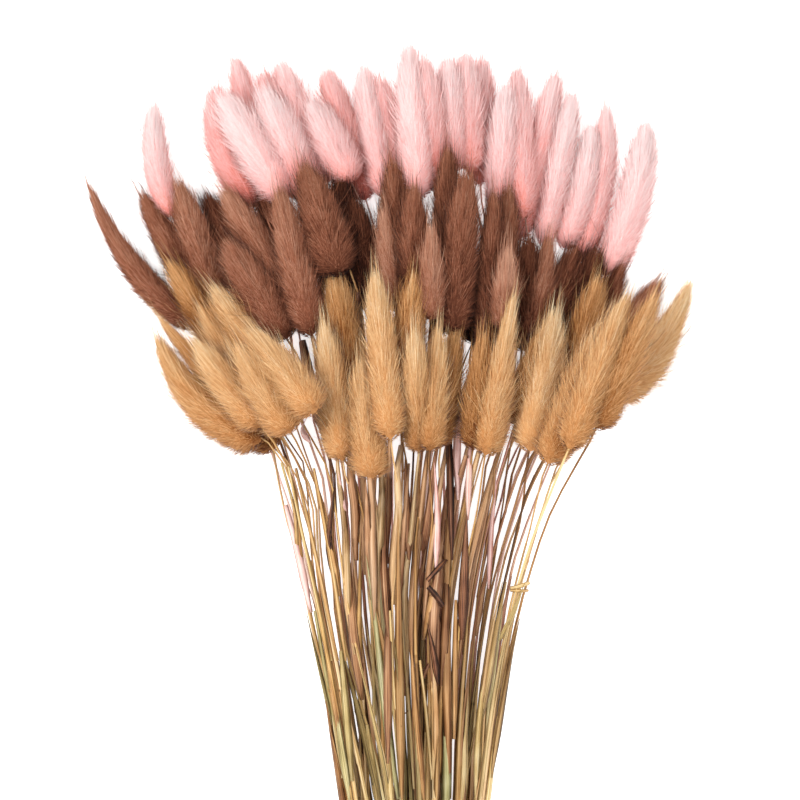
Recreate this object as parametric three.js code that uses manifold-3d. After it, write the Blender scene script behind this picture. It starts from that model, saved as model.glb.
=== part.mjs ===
// A bunch of dried, dyed bunny tail grass (Lagurus ovatus), laid down on a surface: pink heads at the back,
// brown heads over their stems, and tan heads in front. The stems run together in a twine tie.
// Millimetres. +Z is up, +Y runs along the stems to the heads, and the surface is at Z = 0.
// The origin is on the surface, under the middle of the bunch.
import * as THREE from "three";
import { mergeVertices } from "three/addons/utils/BufferGeometryUtils.js";
import Module from "manifold-3d";

const wasm = await Module();
wasm.setup();

// Driving dimensions.
const HEAD_LENGTH = 58; // a long head, which covers HEAD_PIXELS of the photograph
const HEAD_PIXELS = 150;
const TIE_TO_CUT = 31; // from the tie down to the cut ends
const CUT_SPREAD = 0.35; // how much further apart the cut ends are than the stems in the tie
const CUT_SPREAD_UP = 0.25; // the same, for their heights
const CUT_UNEVEN = 6; // how far the cut ends are from being level
const STEM_WIDTH = 2.2; // a lower stem in its dry leaf sheath
const STEM_HEIGHT = 2;
const STEM_AT_HEAD = 1.1;
const STEM_PITCH = 2.05; // from stem to stem in the tie, where they are pressed together
const TWINE_RADIUS = 1.1;
const TWINE_PITCH = 2.5; // from turn to turn of the tie
const TWINE_SLACK = 0.8; // how far the turns stand off the top of the stems
const GAP = 0.3; // between separate pieces that touch
const PRESSED = 1; // how far the lowest heads are flattened on the surface
const LEAF_RISE = 5; // how far a leaf's tip stands off its stem
const LEAF_HALF_THICKNESS = 0.6; // at the midrib
const CORNER = 4; // radius of the tie's turns at the corners of the bundle

// A head's outline is an egg with its blunt end at the base: its half width is a sine of the length to
// the power "blunt", to the power "full", and nowhere less than "least". A slim head loses "slimming" of
// it between two shares of its length.
const EGG = { blunt: 0.74, full: 0.62, least: 0.28, slimming: 0.5, slimFrom: 0.35, slimTo: 0.9 };

// A head's solid is its dense inner part. The loosest hairs reach further, out to the full width.
const DENSE_SHARE = 0.82;
const HEAD_FLATNESS = 0.8; // height over width of a head that lies in the bunch
const PAIR_APART = 0.64; // how far apart a pair's axes lie, as a share of their half widths together
const PAIR_SWING = 0.7; // how much more their tips are moved for that than their middles
const PAIR_STEP = 1; // how much higher the front head of a pressed pair lies
const LOWEST_TIP = -6; // a head's tip may lie this much lower than its base
const HIGHEST_TIP = 22;
const LEVEL_WISH = 0.1; // how much lower a tilted head has to come to lie than a level one

// Tufts of awns: the head's surface is a lattice of which every third point stands out and leans to the
// tip.
const TUFT = { sides: 9, rows: 7, firstRow: 0.06, lastRow: 0.86, hollow: 0.6, lean: 0.1, uneven: 0.1 };

// Pixels of the photograph: what lies over the model's middle, and over the tie.
const MIDDLE_PIXEL = [390, 580];
const TIE_PIXEL = [414, 1030];

// How fast the stems spread above the tie, for each millimetre from its middle.
const FAN_RATE = 0.0125;
const TIE_REACH = 12; // how far above the tie the rows of stems still lie as they do in it
const LOOSENING = 0.3; // how much more room each row of stems has at its first bend than in the tie
const LINK_DEPTH = 0.15; // how deep the one stem that joins a colour's two rows is pressed in
const LINK_WIDTH = 1.5; // how much wider it is in the tie, in a loose sheath
const BENDS = [0, 0.23, 0.6, 1]; // where a stem bends, as shares of the way to its neck
const NECK = 0.3; // the neck is the stretch under a head that runs on in its line, as a share of its length
const NECK_PULL = 0.8; // how strongly a stem swings into its neck's line
const TAPER_FROM = 0.45; // where a stem begins to get thinner, as a share of the way to its head

// The ground that each head and stem is laid on is a map of heights in cells of one millimetre.
const FIELD = { width: 340, length: 520 };

// Steps across and along a head that is laid on the ground or raises it, as shares of its half width and
// length.
const LAID = { across: 0.1, along: 0.02, tilt: 0.5 };
const RAISED = { across: 0.05, along: 0.012 };
const LAYING_PASSES = 12; // over one stem, from its tie to its head

// Heads in pixels of the photograph: tip, base, width, and how far the middle bows to the right.
// A slim head is narrow in its upper half.
const head = (tip, base, width, bow = 0, slim = 0) => ({ tip, base, width, bow, slim });

// Each colour lists its groups from the back of the bunch to the front, in the order in which they are
// laid. A group is one head, or two that are pressed into each other, the one in front second.
const COLOURS = [
  {
    name: "pink",
    headColour: 0xf4bdb8,
    stemColour: 0xd2a184,
    slots: [10, 13],
    groups: [
      [head([484, 66], [480, 172], 26)],
      [head([553, 78], [522, 222], 30), head([576, 100], [545, 246], 28)],
      [head([328, 76], [366, 200], 30)],
      [head([236, 66], [262, 170], 26)],
      [head([214, 94], [258, 206], 33, -10)],
      [head([264, 80], [300, 185], 30), head([282, 68], [318, 178], 36)],
      [head([468, 62], [472, 172], 28), head([449, 66], [456, 170], 32)],
      [head([609, 113], [580, 264], 26, 8), head([592, 133], [564, 248], 30, 6)],
      [head([384, 88], [398, 190], 26), head([364, 73], [386, 197], 32)],
      [head([426, 68], [436, 178], 28), head([409, 51], [420, 200], 34)],
      [head([520, 75], [524, 205], 28), head([506, 92], [500, 214], 32)],
      [head([151, 112], [171, 216], 29, -6)],
      [head([252, 92], [296, 196], 34), head([224, 100], [288, 200], 42)],
      [head([312, 103], [350, 178], 34)],
      [head([648, 128], [605, 277], 36, 8)],
    ],
    leaves: [],
  },
  {
    name: "brown",
    headColour: 0x8a5745,
    stemColour: 0x8a6a4c,
    slots: [14, 14],
    groups: [
      [head([208, 203], [250, 300], 30)],
      [head([262, 204], [300, 300], 28)],
      [head([384, 196], [392, 280], 20)],
      [head([490, 250], [472, 342], 26)],
      [head([343, 190], [352, 300], 28), head([357, 190], [372, 290], 28)],
      [head([596, 260], [566, 336], 30), head([572, 258], [543, 338], 34)],
      [head([655, 291], [606, 368], 30)],
      [head([619, 277], [588, 345], 26)],
      [head([448, 160], [446, 300], 32)],
      [head([318, 168], [350, 272], 40)],
      [head([508, 196], [500, 320], 30)],
      [head([493, 205], [487, 356], 28)],
      [head([143, 203], [200, 304], 30), head([180, 189], [215, 302], 38)],
      [head([91, 197], [196, 328], 28, -12, 1)],
      [head([394, 172], [408, 292], 32), head([385, 222], [398, 312], 28)],
      [head([415, 190], [418, 300], 30), head([429, 239], [430, 319], 22)],
      [head([228, 198], [296, 306], 36)],
      [head([229, 249], [286, 338], 34)],
      [head([281, 200], [312, 338], 36)],
      [head([470, 185], [454, 342], 32)],
      [head([529, 248], [522, 352], 26), head([548, 250], [528, 353], 28)],
      [head([507, 261], [502, 330], 24)],
    ],
    leaves: [],
  },
  {
    name: "tan",
    headColour: 0xd9a468,
    stemColour: 0xcaa66c,
    slots: [14, 12],
    groups: [
      [head([174, 270], [236, 372], 28)],
      [head([414, 284], [400, 400], 32)],
      [head([458, 338], [440, 446], 28)],
      [head([200, 372], [276, 450], 34)],
      [head([597, 289], [566, 400], 34)],
      [head([335, 281], [352, 396], 34)],
      [head([326, 334], [343, 462], 36)],
      [head([362, 372], [372, 480], 38)],
      [head([376, 284], [391, 441], 34)],
      [head([482, 346], [472, 450], 24), head([512, 308], [485, 457], 36, 0, 1)],
      [head([688, 294], [612, 396], 44, 8)],
      [head([536, 346], [516, 426], 26), head([554, 321], [530, 453], 44)],
      [head([216, 297], [286, 396], 36), head([204, 316], [272, 420], 32)],
      [head([170, 328], [265, 420], 28, -4, 1), head([156, 342], [258, 434], 46, -14)],
      [head([202, 350], [264, 428], 36)],
      [head([604, 330], [546, 465], 40)],
      [head([650, 306], [594, 430], 34), head([622, 306], [566, 450], 36)],
      [head([244, 356], [292, 434], 40), head([256, 339], [318, 413], 42)],
      [head([438, 342], [430, 452], 28), head([414, 342], [418, 453], 30)],
    ],
    leaves: [
      { from: [340, 596], to: [324, 502], width: 4.6 },
      { from: [424, 640], to: [440, 560], width: 5 },
      { from: [500, 640], to: [524, 582], width: 4 },
      { from: [398, 700], to: [376, 610], width: 3.6 },
    ],
  },
];

const TO_MM = HEAD_LENGTH / HEAD_PIXELS;
const UP = new THREE.Vector3(0, 0, 1);
const mix = THREE.MathUtils.lerp;
const clamp = THREE.MathUtils.clamp;

const fromPixel = ([x, y]) =>
  new THREE.Vector3((x - MIDDLE_PIXEL[0]) * TO_MM, (MIDDLE_PIXEL[1] - y) * TO_MM, 0);

// The same uneven number from 0 to 1 for the same two whole numbers.
function uneven(a, b) {
  const wave = Math.sin(a * 127.1 + b * 311.7) * 43758.5453;
  return wave - Math.floor(wave);
}

// Solids

// A closed solid from points and triangles, with its faces pointing out.
function solid(points, triangles) {
  let volume = 0;
  for (const [a, b, c] of triangles) {
    volume += points[a].dot(points[b].clone().cross(points[c]));
  }
  const outward = volume > 0 ? triangles : triangles.map(([a, b, c]) => [a, c, b]);
  const mesh = new wasm.Mesh({
    numProp: 3,
    vertProperties: new Float32Array(points.flatMap((p) => [p.x, p.y, p.z])),
    triVerts: new Uint32Array(outward.flat()),
  });
  return new wasm.Manifold(mesh);
}

const fuse = (solids) => solids.reduce((whole, next) => whole.add(next));

// Rings of points joined one to the next. Open rings get flat ends, and a loop joins its last ring to
// its first.
function skin(rings, loop = false) {
  const sides = rings[0].length;
  const triangles = [];
  const steps = loop ? rings.length : rings.length - 1;
  for (let ring = 0; ring < steps; ring++) {
    const here = ring * sides;
    const next = ((ring + 1) % rings.length) * sides;
    for (let side = 0; side < sides; side++) {
      const beside = (side + 1) % sides;
      triangles.push([here + side, here + beside, next + side]);
      triangles.push([here + beside, next + beside, next + side]);
    }
  }
  if (!loop) {
    const last = (rings.length - 1) * sides;
    for (let side = 1; side < sides - 1; side++) {
      triangles.push([0, side + 1, side]);
      triangles.push([last, last + side, last + side + 1]);
    }
  }
  return solid(rings.flat(), triangles);
}

// A ring of points round a place on a path. "across" is one direction of its section and the other is at
// right angles to the path and to it.
function ring(place, along, across, width, height, sides, turn) {
  const other = across.clone().cross(along).normalize();
  const points = [];
  for (let side = 0; side < sides; side++) {
    const angle = ((side + turn) / sides) * 2 * Math.PI;
    points.push(
      place
        .clone()
        .addScaledVector(across, Math.cos(angle) * width)
        .addScaledVector(other, Math.sin(angle) * height),
    );
  }
  return points;
}

const directionAt = (path, index) =>
  path[Math.min(index + 1, path.length - 1)].clone().sub(path[Math.max(index - 1, 0)]).normalize();

// Ground

// The top of all that has been laid so far, over each cell.
class Ground {
  constructor(floor) {
    this.tops = new Float32Array(FIELD.width * FIELD.length).fill(floor);
  }

  cell(x, y) {
    return Math.round(y + FIELD.length / 2) * FIELD.width + Math.round(x + FIELD.width / 2);
  }

  top(x, y) {
    return this.tops[this.cell(x, y)];
  }

  raise(x, y, z) {
    const cell = this.cell(x, y);
    this.tops[cell] = Math.max(this.tops[cell], z);
  }
}

const FLOOR = -GAP - PRESSED;
const rowCounts = COLOURS.flatMap(({ slots }) => slots);
const headGround = new Ground(FLOOR);
const rowGrounds = rowCounts.map(() => new Ground(FLOOR));

// A head lies on everything, and a stem on everything but the row of stems that it belongs to.
const groundFor = (ownRow) => [headGround, ...rowGrounds.filter((_, row) => row !== ownRow)];
const topOf = (grounds, x, y) => Math.max(...grounds.map((ground) => ground.top(x, y)));

// Heads

// A head's size and its bowed axis on the plane, in millimetres.
function measured({ tip, base, width, bow, slim }) {
  const from = fromPixel(base);
  const to = fromPixel(tip);
  const along = to.clone().sub(from).normalize();
  const right = along.clone().cross(UP);
  return { from, to, right, radius: (width * TO_MM) / 2, bow: bow * TO_MM, slim, foot: 0, rise: 0 };
}

function axisPoint(shape, t) {
  const bulge = 4 * t * (1 - t) * (t < 0 ? 0 : shape.bow);
  const height = shape.foot + shape.rise * t;
  return shape.from.clone().lerp(shape.to, t).addScaledVector(shape.right, bulge).setZ(height);
}

// A head's half width along its axis, as a share of the most.
function fullness(t, slim) {
  const egg = Math.sin(Math.PI * clamp(t, 0, 1) ** EGG.blunt) ** EGG.full;
  const narrowing = slim * EGG.slimming * THREE.MathUtils.smoothstep(t, EGG.slimFrom, EGG.slimTo);
  return Math.max(egg, EGG.least) * (1 - narrowing);
}

// The lowest height at which the axis clears the ground at t. Before the base it is the stem that has to
// clear.
function heightNeeded(shape, t, grounds) {
  const centre = axisPoint(shape, t);
  const reach = t < 0 ? STEM_AT_HEAD : shape.radius * DENSE_SHARE * fullness(t, shape.slim);
  let needed = FLOOR;
  for (let side = -1; side <= 1; side += LAID.across) {
    const place = centre.clone().addScaledVector(shape.right, side * reach);
    const depth = t < 0 ? reach : Math.sqrt(Math.max(1 - side * side, 0)) * reach * HEAD_FLATNESS;
    needed = Math.max(needed, topOf(grounds, place.x, place.y) + depth + GAP);
  }
  return needed;
}

// Lays a head as low as it goes, with its tip no lower or higher than allowed.
function settle(shape) {
  const grounds = groundFor(null);
  const needs = [];
  for (let t = -NECK; t <= 1; t += LAID.along) {
    needs.push([t, heightNeeded(shape, t, grounds)]);
  }
  let lowest = Infinity;
  for (let rise = LOWEST_TIP; rise <= HIGHEST_TIP; rise += LAID.tilt) {
    const foot = Math.max(...needs.map(([t, need]) => need - rise * t));
    const middle = foot + rise / 2 + Math.abs(rise) * LEVEL_WISH;
    if (middle < lowest) {
      lowest = middle;
      Object.assign(shape, { foot, rise });
    }
  }
}

// Heads that are pressed into each other are moved over the plane until they overlap just enough to hold
// together.
function pressPair(back, front) {
  const [backMiddle, frontMiddle] = [back, front].map((shape) => axisPoint(shape, 0.5));
  const apart = frontMiddle.sub(backMiddle).dot(back.right);
  const excess = Math.abs(apart) - PAIR_APART * DENSE_SHARE * (back.radius + front.radius);
  const shift = back.right.clone().multiplyScalar((Math.sign(apart) * excess) / 2);
  for (const [shape, way] of [[back, 1], [front, -1]]) {
    shape.from.addScaledVector(shift, way * (1 - PAIR_SWING));
    shape.to.addScaledVector(shift, way * (1 + PAIR_SWING));
  }
}

// A pressed pair lies at one height, with its front head a step higher.
function settlePair(back, front) {
  const step = front.foot + front.rise / 2 - back.foot - back.rise / 2 - PAIR_STEP;
  back.foot += Math.max(step, 0);
  front.foot += Math.max(-step, 0);
}

function raiseGroundOver(shape) {
  for (let t = 0; t <= 1; t += RAISED.along) {
    const centre = axisPoint(shape, t);
    const reach = shape.radius * DENSE_SHARE * fullness(t, shape.slim);
    for (let side = -1; side <= 1; side += RAISED.across) {
      const place = centre.clone().addScaledVector(shape.right, side * reach);
      const height = Math.sqrt(Math.max(1 - side * side, 0)) * reach * HEAD_FLATNESS;
      headGround.raise(place.x, place.y, centre.z + height);
    }
  }
}

// The head's solid: a core covered in tufts. A tuft leans to the tip, and the surface flattens the
// lowest ones.
function headSolid(shape, seed) {
  const step = (TUFT.lastRow - TUFT.firstRow) / (TUFT.rows - 1);
  const rings = [];
  for (let row = 0; row < TUFT.rows; row++) {
    const points = [];
    for (let side = 0; side < TUFT.sides; side++) {
      const stands = (side + 2 * row) % 3 === 0;
      const shorter = 1 - TUFT.uneven * uneven(seed + row, side);
      const t = TUFT.firstRow + step * row + (stands ? TUFT.lean * shorter : 0);
      const out = stands ? shorter : TUFT.hollow;
      const reach = shape.radius * DENSE_SHARE * fullness(t, shape.slim) * out;
      const angle = ((side + row / 2) / TUFT.sides) * 2 * Math.PI;
      const along = axisPoint(shape, t + 0.02).sub(axisPoint(shape, t - 0.02)).normalize();
      const across = along.clone().cross(UP).normalize();
      const point = axisPoint(shape, t)
        .addScaledVector(across, Math.cos(angle) * reach)
        .addScaledVector(across.clone().cross(along), Math.sin(angle) * reach * HEAD_FLATNESS);
      points.push(point.setZ(Math.max(point.z, 0)));
    }
    rings.push(points);
  }
  const triangles = [];
  const sides = TUFT.sides;
  const base = TUFT.rows * sides;
  const tip = base + 1;
  const last = (TUFT.rows - 1) * sides;
  for (let side = 0; side < sides; side++) {
    const beside = (side + 1) % sides;
    triangles.push([base, beside, side]);
    triangles.push([tip, last + side, last + beside]);
    for (let row = 0; row < TUFT.rows - 1; row++) {
      const here = row * sides;
      const next = here + sides;
      triangles.push([here + side, here + beside, next + side]);
      triangles.push([here + beside, next + beside, next + side]);
    }
  }
  return solid([...rings.flat(), axisPoint(shape, 0), axisPoint(shape, 0.99)], triangles);
}

// Stems

const tieMiddle = fromPixel(TIE_PIXEL);
const lowestRow = TWINE_RADIUS * Math.sqrt(3) + GAP + STEM_HEIGHT / 2;
const rowHeights = rowCounts.map((_, row) => lowestRow + row * (STEM_HEIGHT + GAP));
const bundleMiddle = (rowHeights[0] + rowHeights.at(-1)) / 2;

// The heads that are laid first have the colour's lower row of stems in the tie, and the others the
// upper one. In a row, the stems keep the order of their heads from left to right, and each is pressed
// into the next. The middle one of the upper row is pressed into the lower row too, so that the colour
// holds together.
function dealSlots(slots, lowerRow, shapes) {
  const bearing = ({ from }) => Math.atan2(from.x - tieMiddle.x, from.y - tieMiddle.y);
  const rows = [shapes.slice(0, slots[0]), shapes.slice(slots[0])];
  rows.forEach((row, upper) => {
    row.sort((a, b) => bearing(a) - bearing(b));
    const aside = upper === 1 ? ((rows[0].length - row.length) % 2) / 2 : 0; // so that it lies stem on stem
    row.forEach((shape, place) => {
      const x = tieMiddle.x + (place - (row.length - 1) / 2 + aside) * STEM_PITCH;
      shape.links = upper === 1 && place === Math.floor(row.length / 2);
      shape.row = lowerRow + upper;
      const height = rowHeights[shape.row] - (shape.links ? GAP + LINK_DEPTH : 0);
      shape.slot = new THREE.Vector3(x, tieMiddle.y, height);
    });
  });
}

// A stem's way, from its place in the tie to its neck and on to just under its head: points of one
// smooth curve that leaves the tie a little fanned out and comes to the neck in the head's line.
function stemPlan(shape) {
  const headStart = axisPoint(shape, 0);
  const neck = axisPoint(shape, -NECK);
  const alongHead = headStart.clone().sub(neck).normalize();
  const length = neck.distanceTo(shape.slot);
  const leaving = new THREE.Vector3((shape.slot.x - tieMiddle.x) * FAN_RATE, 1, 0).normalize();
  const path = BENDS.map((share) => {
    const s2 = share * share;
    const s3 = s2 * share;
    return shape.slot
      .clone()
      .multiplyScalar(2 * s3 - 3 * s2 + 1)
      .addScaledVector(leaving, (s3 - 2 * s2 + share) * length)
      .addScaledVector(neck, 3 * s2 - 2 * s3)
      .addScaledVector(alongHead, (s3 - s2) * length * NECK_PULL)
      .setZ(mix(shape.slot.z, neck.z, share));
  });
  path[1].z = shape.slot.z + LOOSENING * (shape.row + 1);
  return [...path, headStart.addScaledVector(alongHead, -GAP)];
}

const stemShare = (share) => 1 - THREE.MathUtils.smoothstep(share, TAPER_FROM, 1);
const stemWidthAt = (share) => mix(STEM_AT_HEAD, STEM_WIDTH, stemShare(share)) / 2;
const stemHeightAt = (share) => mix(STEM_AT_HEAD, STEM_HEIGHT, stemShare(share)) / 2;

// Raises the inner points of a stem's way until all of it clears the ground, as a stalk that is laid
// over it does. In the tie the rows are pressed together, and at its other end it runs into its own
// head.
function layOver(path, grounds) {
  const lastPart = path.length - 2;
  for (let pass = 0; pass < LAYING_PASSES; pass++) {
    for (let part = 0; part <= lastPart; part++) {
      const steps = Math.ceil(path[part].distanceTo(path[part + 1]));
      const first = part === 0 ? TIE_REACH : 0;
      const last = part === lastPart ? steps - 2 : steps;
      for (let step = first; step <= last; step++) {
        const share = step / steps;
        const place = path[part].clone().lerp(path[part + 1], share);
        const whole = (part + share) / (path.length - 1);
        const reach = stemWidthAt(whole) + GAP;
        const tops = [-reach, 0, reach].map((side) => topOf(grounds, place.x + side, place.y));
        const lack = Math.max(...tops) + stemHeightAt(whole) + GAP - place.z;
        const startShare = part > 0 ? 1 - share : 0;
        const endShare = part < lastPart ? share : 0;
        const lever = startShare ** 2 + endShare ** 2;
        if (lack <= 0.001 || lever < 0.005) continue;
        path[part].z += (lack * startShare) / lever;
        path[part + 1].z += (lack * endShare) / lever;
      }
    }
  }
}

function raiseGroundOverStem(path, ground) {
  for (let part = 0; part < path.length - 1; part++) {
    const steps = Math.ceil(path[part].distanceTo(path[part + 1]) * 2);
    for (let step = 0; step <= steps; step++) {
      const place = path[part].clone().lerp(path[part + 1], step / steps);
      const whole = (part + step / steps) / (path.length - 1);
      for (const side of [-1, 0, 1]) {
        ground.raise(place.x + side * stemWidthAt(whole), place.y, place.z + stemHeightAt(whole));
      }
    }
  }
}

// The cut end, below the tie.
function cutEnd({ slot }, seed) {
  const length = TIE_TO_CUT + (uneven(seed, 7) - 0.5) * 2 * CUT_UNEVEN;
  const aside = (slot.x - tieMiddle.x) * CUT_SPREAD;
  const up = (slot.z - bundleMiddle) * CUT_SPREAD_UP;
  return slot.clone().add(new THREE.Vector3(aside, -length, up));
}

function stemSolid(cut, path, links) {
  const places = [cut, ...path];
  const rings = places.map((place, index) => {
    const along = directionAt(places, index);
    const share = Math.max(index - 1, 0) / (path.length - 1);
    const across = along.clone().cross(UP).normalize();
    const width = stemWidthAt(share) * (links && index === 1 ? LINK_WIDTH : 1);
    return ring(place, along, across, width, stemHeightAt(share), 4, 0);
  });
  return skin(rings);
}

// The place on a way at a share of its length, counted in its parts.
function placeOn(path, share) {
  const parts = clamp(share, 0, 0.999) * (path.length - 1);
  const part = Math.floor(parts);
  return path[part].clone().lerp(path[part + 1], parts - part);
}

// A dry leaf blade: a thin strip that leaves the nearest stem of its colour, runs up beside it and ends
// in a point.
function leafSolid({ from, to, width }, stems) {
  const start = fromPixel(from);
  const end = fromPixel(to);
  let root = { away: Infinity };
  for (const { path } of stems) {
    for (let share = 0.05; share < 0.8; share += 0.01) {
      const place = placeOn(path, share);
      const away = Math.hypot(place.x - start.x, place.y - start.y) - place.z * 0.3;
      if (away < root.away) root = { away, path, share };
    }
  }
  const foot = placeOn(root.path, root.share);
  const run = (end.y - start.y) / (root.path.at(-1).y - root.path[0].y);
  const beside = placeOn(root.path, root.share + run);
  const swing = end.x - start.x - (beside.x - foot.x);
  const shares = [0, 0.15, 0.4, 0.7, 1];
  const path = shares.map((share) => {
    const place = placeOn(root.path, root.share + run * share);
    place.x += swing * share ** 1.5;
    place.z += LEAF_RISE * share;
    return place;
  });
  const halfWidth = (share) => (width / 2) * Math.sin(Math.PI * mix(0.22, 0.93, share)) ** 0.8;
  return skin(
    path.map((place, index) => {
      const along = directionAt(path, index);
      const across = along.clone().cross(UP).normalize();
      return ring(place, along, across, halfWidth(shares[index]), LEAF_HALF_THICKNESS, 4, 0);
    }),
  );
}

// Tie

// Turns of twine round the stems, a short bridge over them where it is knotted, and two loose tails.
function tieSolid() {
  const halfWidth = (Math.max(...rowCounts) * STEM_PITCH) / 2 + 2 * GAP + TWINE_RADIUS;
  const flatToMiddle = (TWINE_RADIUS * Math.sqrt(3)) / 2; // the twine has six sides and lies on a flat one
  const bottom = flatToMiddle;
  const top = rowHeights.at(-1) + STEM_HEIGHT / 2 + GAP + TWINE_SLACK + flatToMiddle;
  const halfHeight = (top - bottom) / 2;
  const lengthways = new THREE.Vector3(0, 1, 0);
  const turns = [-0.5, 0.5].map((turn) => {
    const rings = [];
    for (let quarter = 0; quarter < 4; quarter++) {
      const sideX = quarter === 0 || quarter === 3 ? 1 : -1;
      const sideZ = quarter < 2 ? 1 : -1;
      for (const part of [0, 0.5, 1]) {
        const angle = ((quarter + part) * Math.PI) / 2;
        const around = new THREE.Vector3(-Math.sin(angle), 0, Math.cos(angle));
        const place = new THREE.Vector3(
          tieMiddle.x + sideX * (halfWidth - CORNER) + Math.cos(angle) * CORNER,
          tieMiddle.y + turn * TWINE_PITCH,
          bottom + halfHeight + sideZ * (halfHeight - CORNER) + Math.sin(angle) * CORNER,
        );
        rings.push(ring(place, around, lengthways, TWINE_RADIUS, TWINE_RADIUS, 6, 0));
      }
    }
    return skin(rings, true);
  });
  const strand = (...places) => {
    const path = places.map(([x, y, z]) => new THREE.Vector3(tieMiddle.x + x, tieMiddle.y + y, top + z));
    const rings = path.map((place, index) => {
      const along = directionAt(path, index);
      return ring(place, along, along.clone().cross(UP).normalize(), TWINE_RADIUS, TWINE_RADIUS, 6, 0.5);
    });
    return skin(rings);
  };
  const bridge = strand([3, 3.6, 0.4], [3.2, 1.4, 1.7], [2.8, -1.4, 1.7], [3, -3.6, 0.4]);
  const leftTail = strand([3.4, 0.5, 1.5], [-2, -5, 1.4], [-8, -16, 1.6], [-8, -30, 2]);
  const rightTail = strand([2.6, -0.5, 1.5], [7, -6, 1.4], [12, -15, 1.6], [15, -26, 2]);
  return fuse([...turns, bridge, leftTail, rightTail]);
}

// Assembly

function meshOf(manifold, name, color) {
  const { vertProperties, triVerts } = manifold.getMesh();
  const geometry = new THREE.BufferGeometry();
  geometry.setAttribute("position", new THREE.BufferAttribute(new Float32Array(vertProperties), 3));
  geometry.setIndex(new THREE.BufferAttribute(new Uint32Array(triVerts), 1));
  const merged = mergeVertices(geometry, 1e-3);
  merged.computeVertexNormals();
  const material = new THREE.MeshStandardMaterial({ color, roughness: 0.95, metalness: 0 });
  const mesh = new THREE.Mesh(merged, material);
  mesh.name = name;
  return mesh;
}

const bunch = new THREE.Group();

COLOURS.forEach((colour, colourIndex) => {
  const groups = colour.groups.map((heads) => heads.map(measured));
  dealSlots(colour.slots, colourIndex * 2, groups.flat());
  const stems = [];
  groups.forEach((shapes, groupIndex) => {
    if (shapes.length === 2) pressPair(...shapes);
    shapes.forEach(settle);
    if (shapes.length === 2) settlePair(...shapes);
    shapes.forEach(raiseGroundOver);
    const seed = colourIndex * 100 + groupIndex * 10;
    const heads = fuse(shapes.map((shape, index) => headSolid(shape, seed + index)));
    const number = String(groupIndex + 1).padStart(2, "0");
    bunch.add(meshOf(heads, `${colour.name}_head_${number}`, colour.headColour));
    shapes.forEach((shape, index) => {
      const path = stemPlan(shape);
      layOver(path, groundFor(shape.row));
      raiseGroundOverStem(path, rowGrounds[shape.row]);
      stems.push({ path, body: stemSolid(cutEnd(shape, seed + index), path, shape.links) });
    });
  });
  const leaves = colour.leaves.map((leaf) => leafSolid(leaf, stems));
  const bodies = stems.map(({ body }) => body);
  bunch.add(meshOf(fuse([...bodies, ...leaves]), `${colour.name}_stems`, colour.stemColour));
});
bunch.add(meshOf(tieSolid(), "twine_tie", 0xbfa071));

// The whole bunch is moved over the surface until its middle is over the origin.
const box = new THREE.Box3().setFromObject(bunch);
bunch.position.set(-(box.min.x + box.max.x) / 2, -(box.min.y + box.max.y) / 2, 0);

export default bunch;
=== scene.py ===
# %% [markdown]
# # A bunch of dried bunny tail grass
#
# The bunch lies on its back on a pale floor and the camera looks straight down on it. Fluffy plumes lie in
# three rows: pink at the far end, brown over their stems, and tan ones in front. All the stems run together
# to a twine tie near the viewer.
#
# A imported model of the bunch, the frame, gives every plume, stem and tie as a coarse solid at its real
# place. This script loads it first, and then makes one finer piece for each of those solids. The finer
# pieces lie where the solids are, but for some fur and stems that are moved by a few millimetres to meet
# the photograph.

# %% Load the frame
import math

import bpy
import numpy as np
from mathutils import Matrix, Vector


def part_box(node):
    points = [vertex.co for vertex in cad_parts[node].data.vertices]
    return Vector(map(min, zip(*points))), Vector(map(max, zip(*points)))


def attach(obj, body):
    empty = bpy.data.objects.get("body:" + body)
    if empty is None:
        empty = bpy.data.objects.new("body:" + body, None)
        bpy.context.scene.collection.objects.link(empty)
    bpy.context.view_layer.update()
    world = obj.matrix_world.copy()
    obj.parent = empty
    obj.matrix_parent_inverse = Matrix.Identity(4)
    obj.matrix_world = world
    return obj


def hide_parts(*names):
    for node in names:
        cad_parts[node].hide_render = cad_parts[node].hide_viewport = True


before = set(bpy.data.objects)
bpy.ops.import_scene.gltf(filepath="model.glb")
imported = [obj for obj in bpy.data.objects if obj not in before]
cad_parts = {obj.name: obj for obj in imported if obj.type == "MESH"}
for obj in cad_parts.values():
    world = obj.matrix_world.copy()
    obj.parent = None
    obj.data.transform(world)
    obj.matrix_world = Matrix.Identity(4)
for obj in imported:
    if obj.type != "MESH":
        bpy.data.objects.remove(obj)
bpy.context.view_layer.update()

MM = 0.001
UP = np.array([0.0, 0.0, 1.0])

# %% [markdown]
# ## Places
#
# The plumes are listed by where the photograph shows them, in pixels: the tip, the base, the width, and how
# far the middle bows to the right. A pixel is a real size here, because a plume of 58 mm covers 150 of them.
# The list is in the frame's own order: each entry is one solid of the frame, with one plume or two pressed
# together. The last number of a plume is its tone, from -1 for the darkest of its colour to 1 for the
# lightest. A low tone is partly the plume's own colour and partly painted shade, because the plumes that lie
# behind others are given the lowest.

# %% The plumes
PLUME_LENGTH, PLUME_PIXELS = 58 * MM, 150
PIXEL = PLUME_LENGTH / PLUME_PIXELS
MIDDLE_PIXEL = np.array([390, 580])


def plume(tip, base, width, bow=0, slim=0, tone=0.0):
    return {"tip": tip, "base": base, "width": width, "bow": bow, "slim": slim, "tone": tone}


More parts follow.
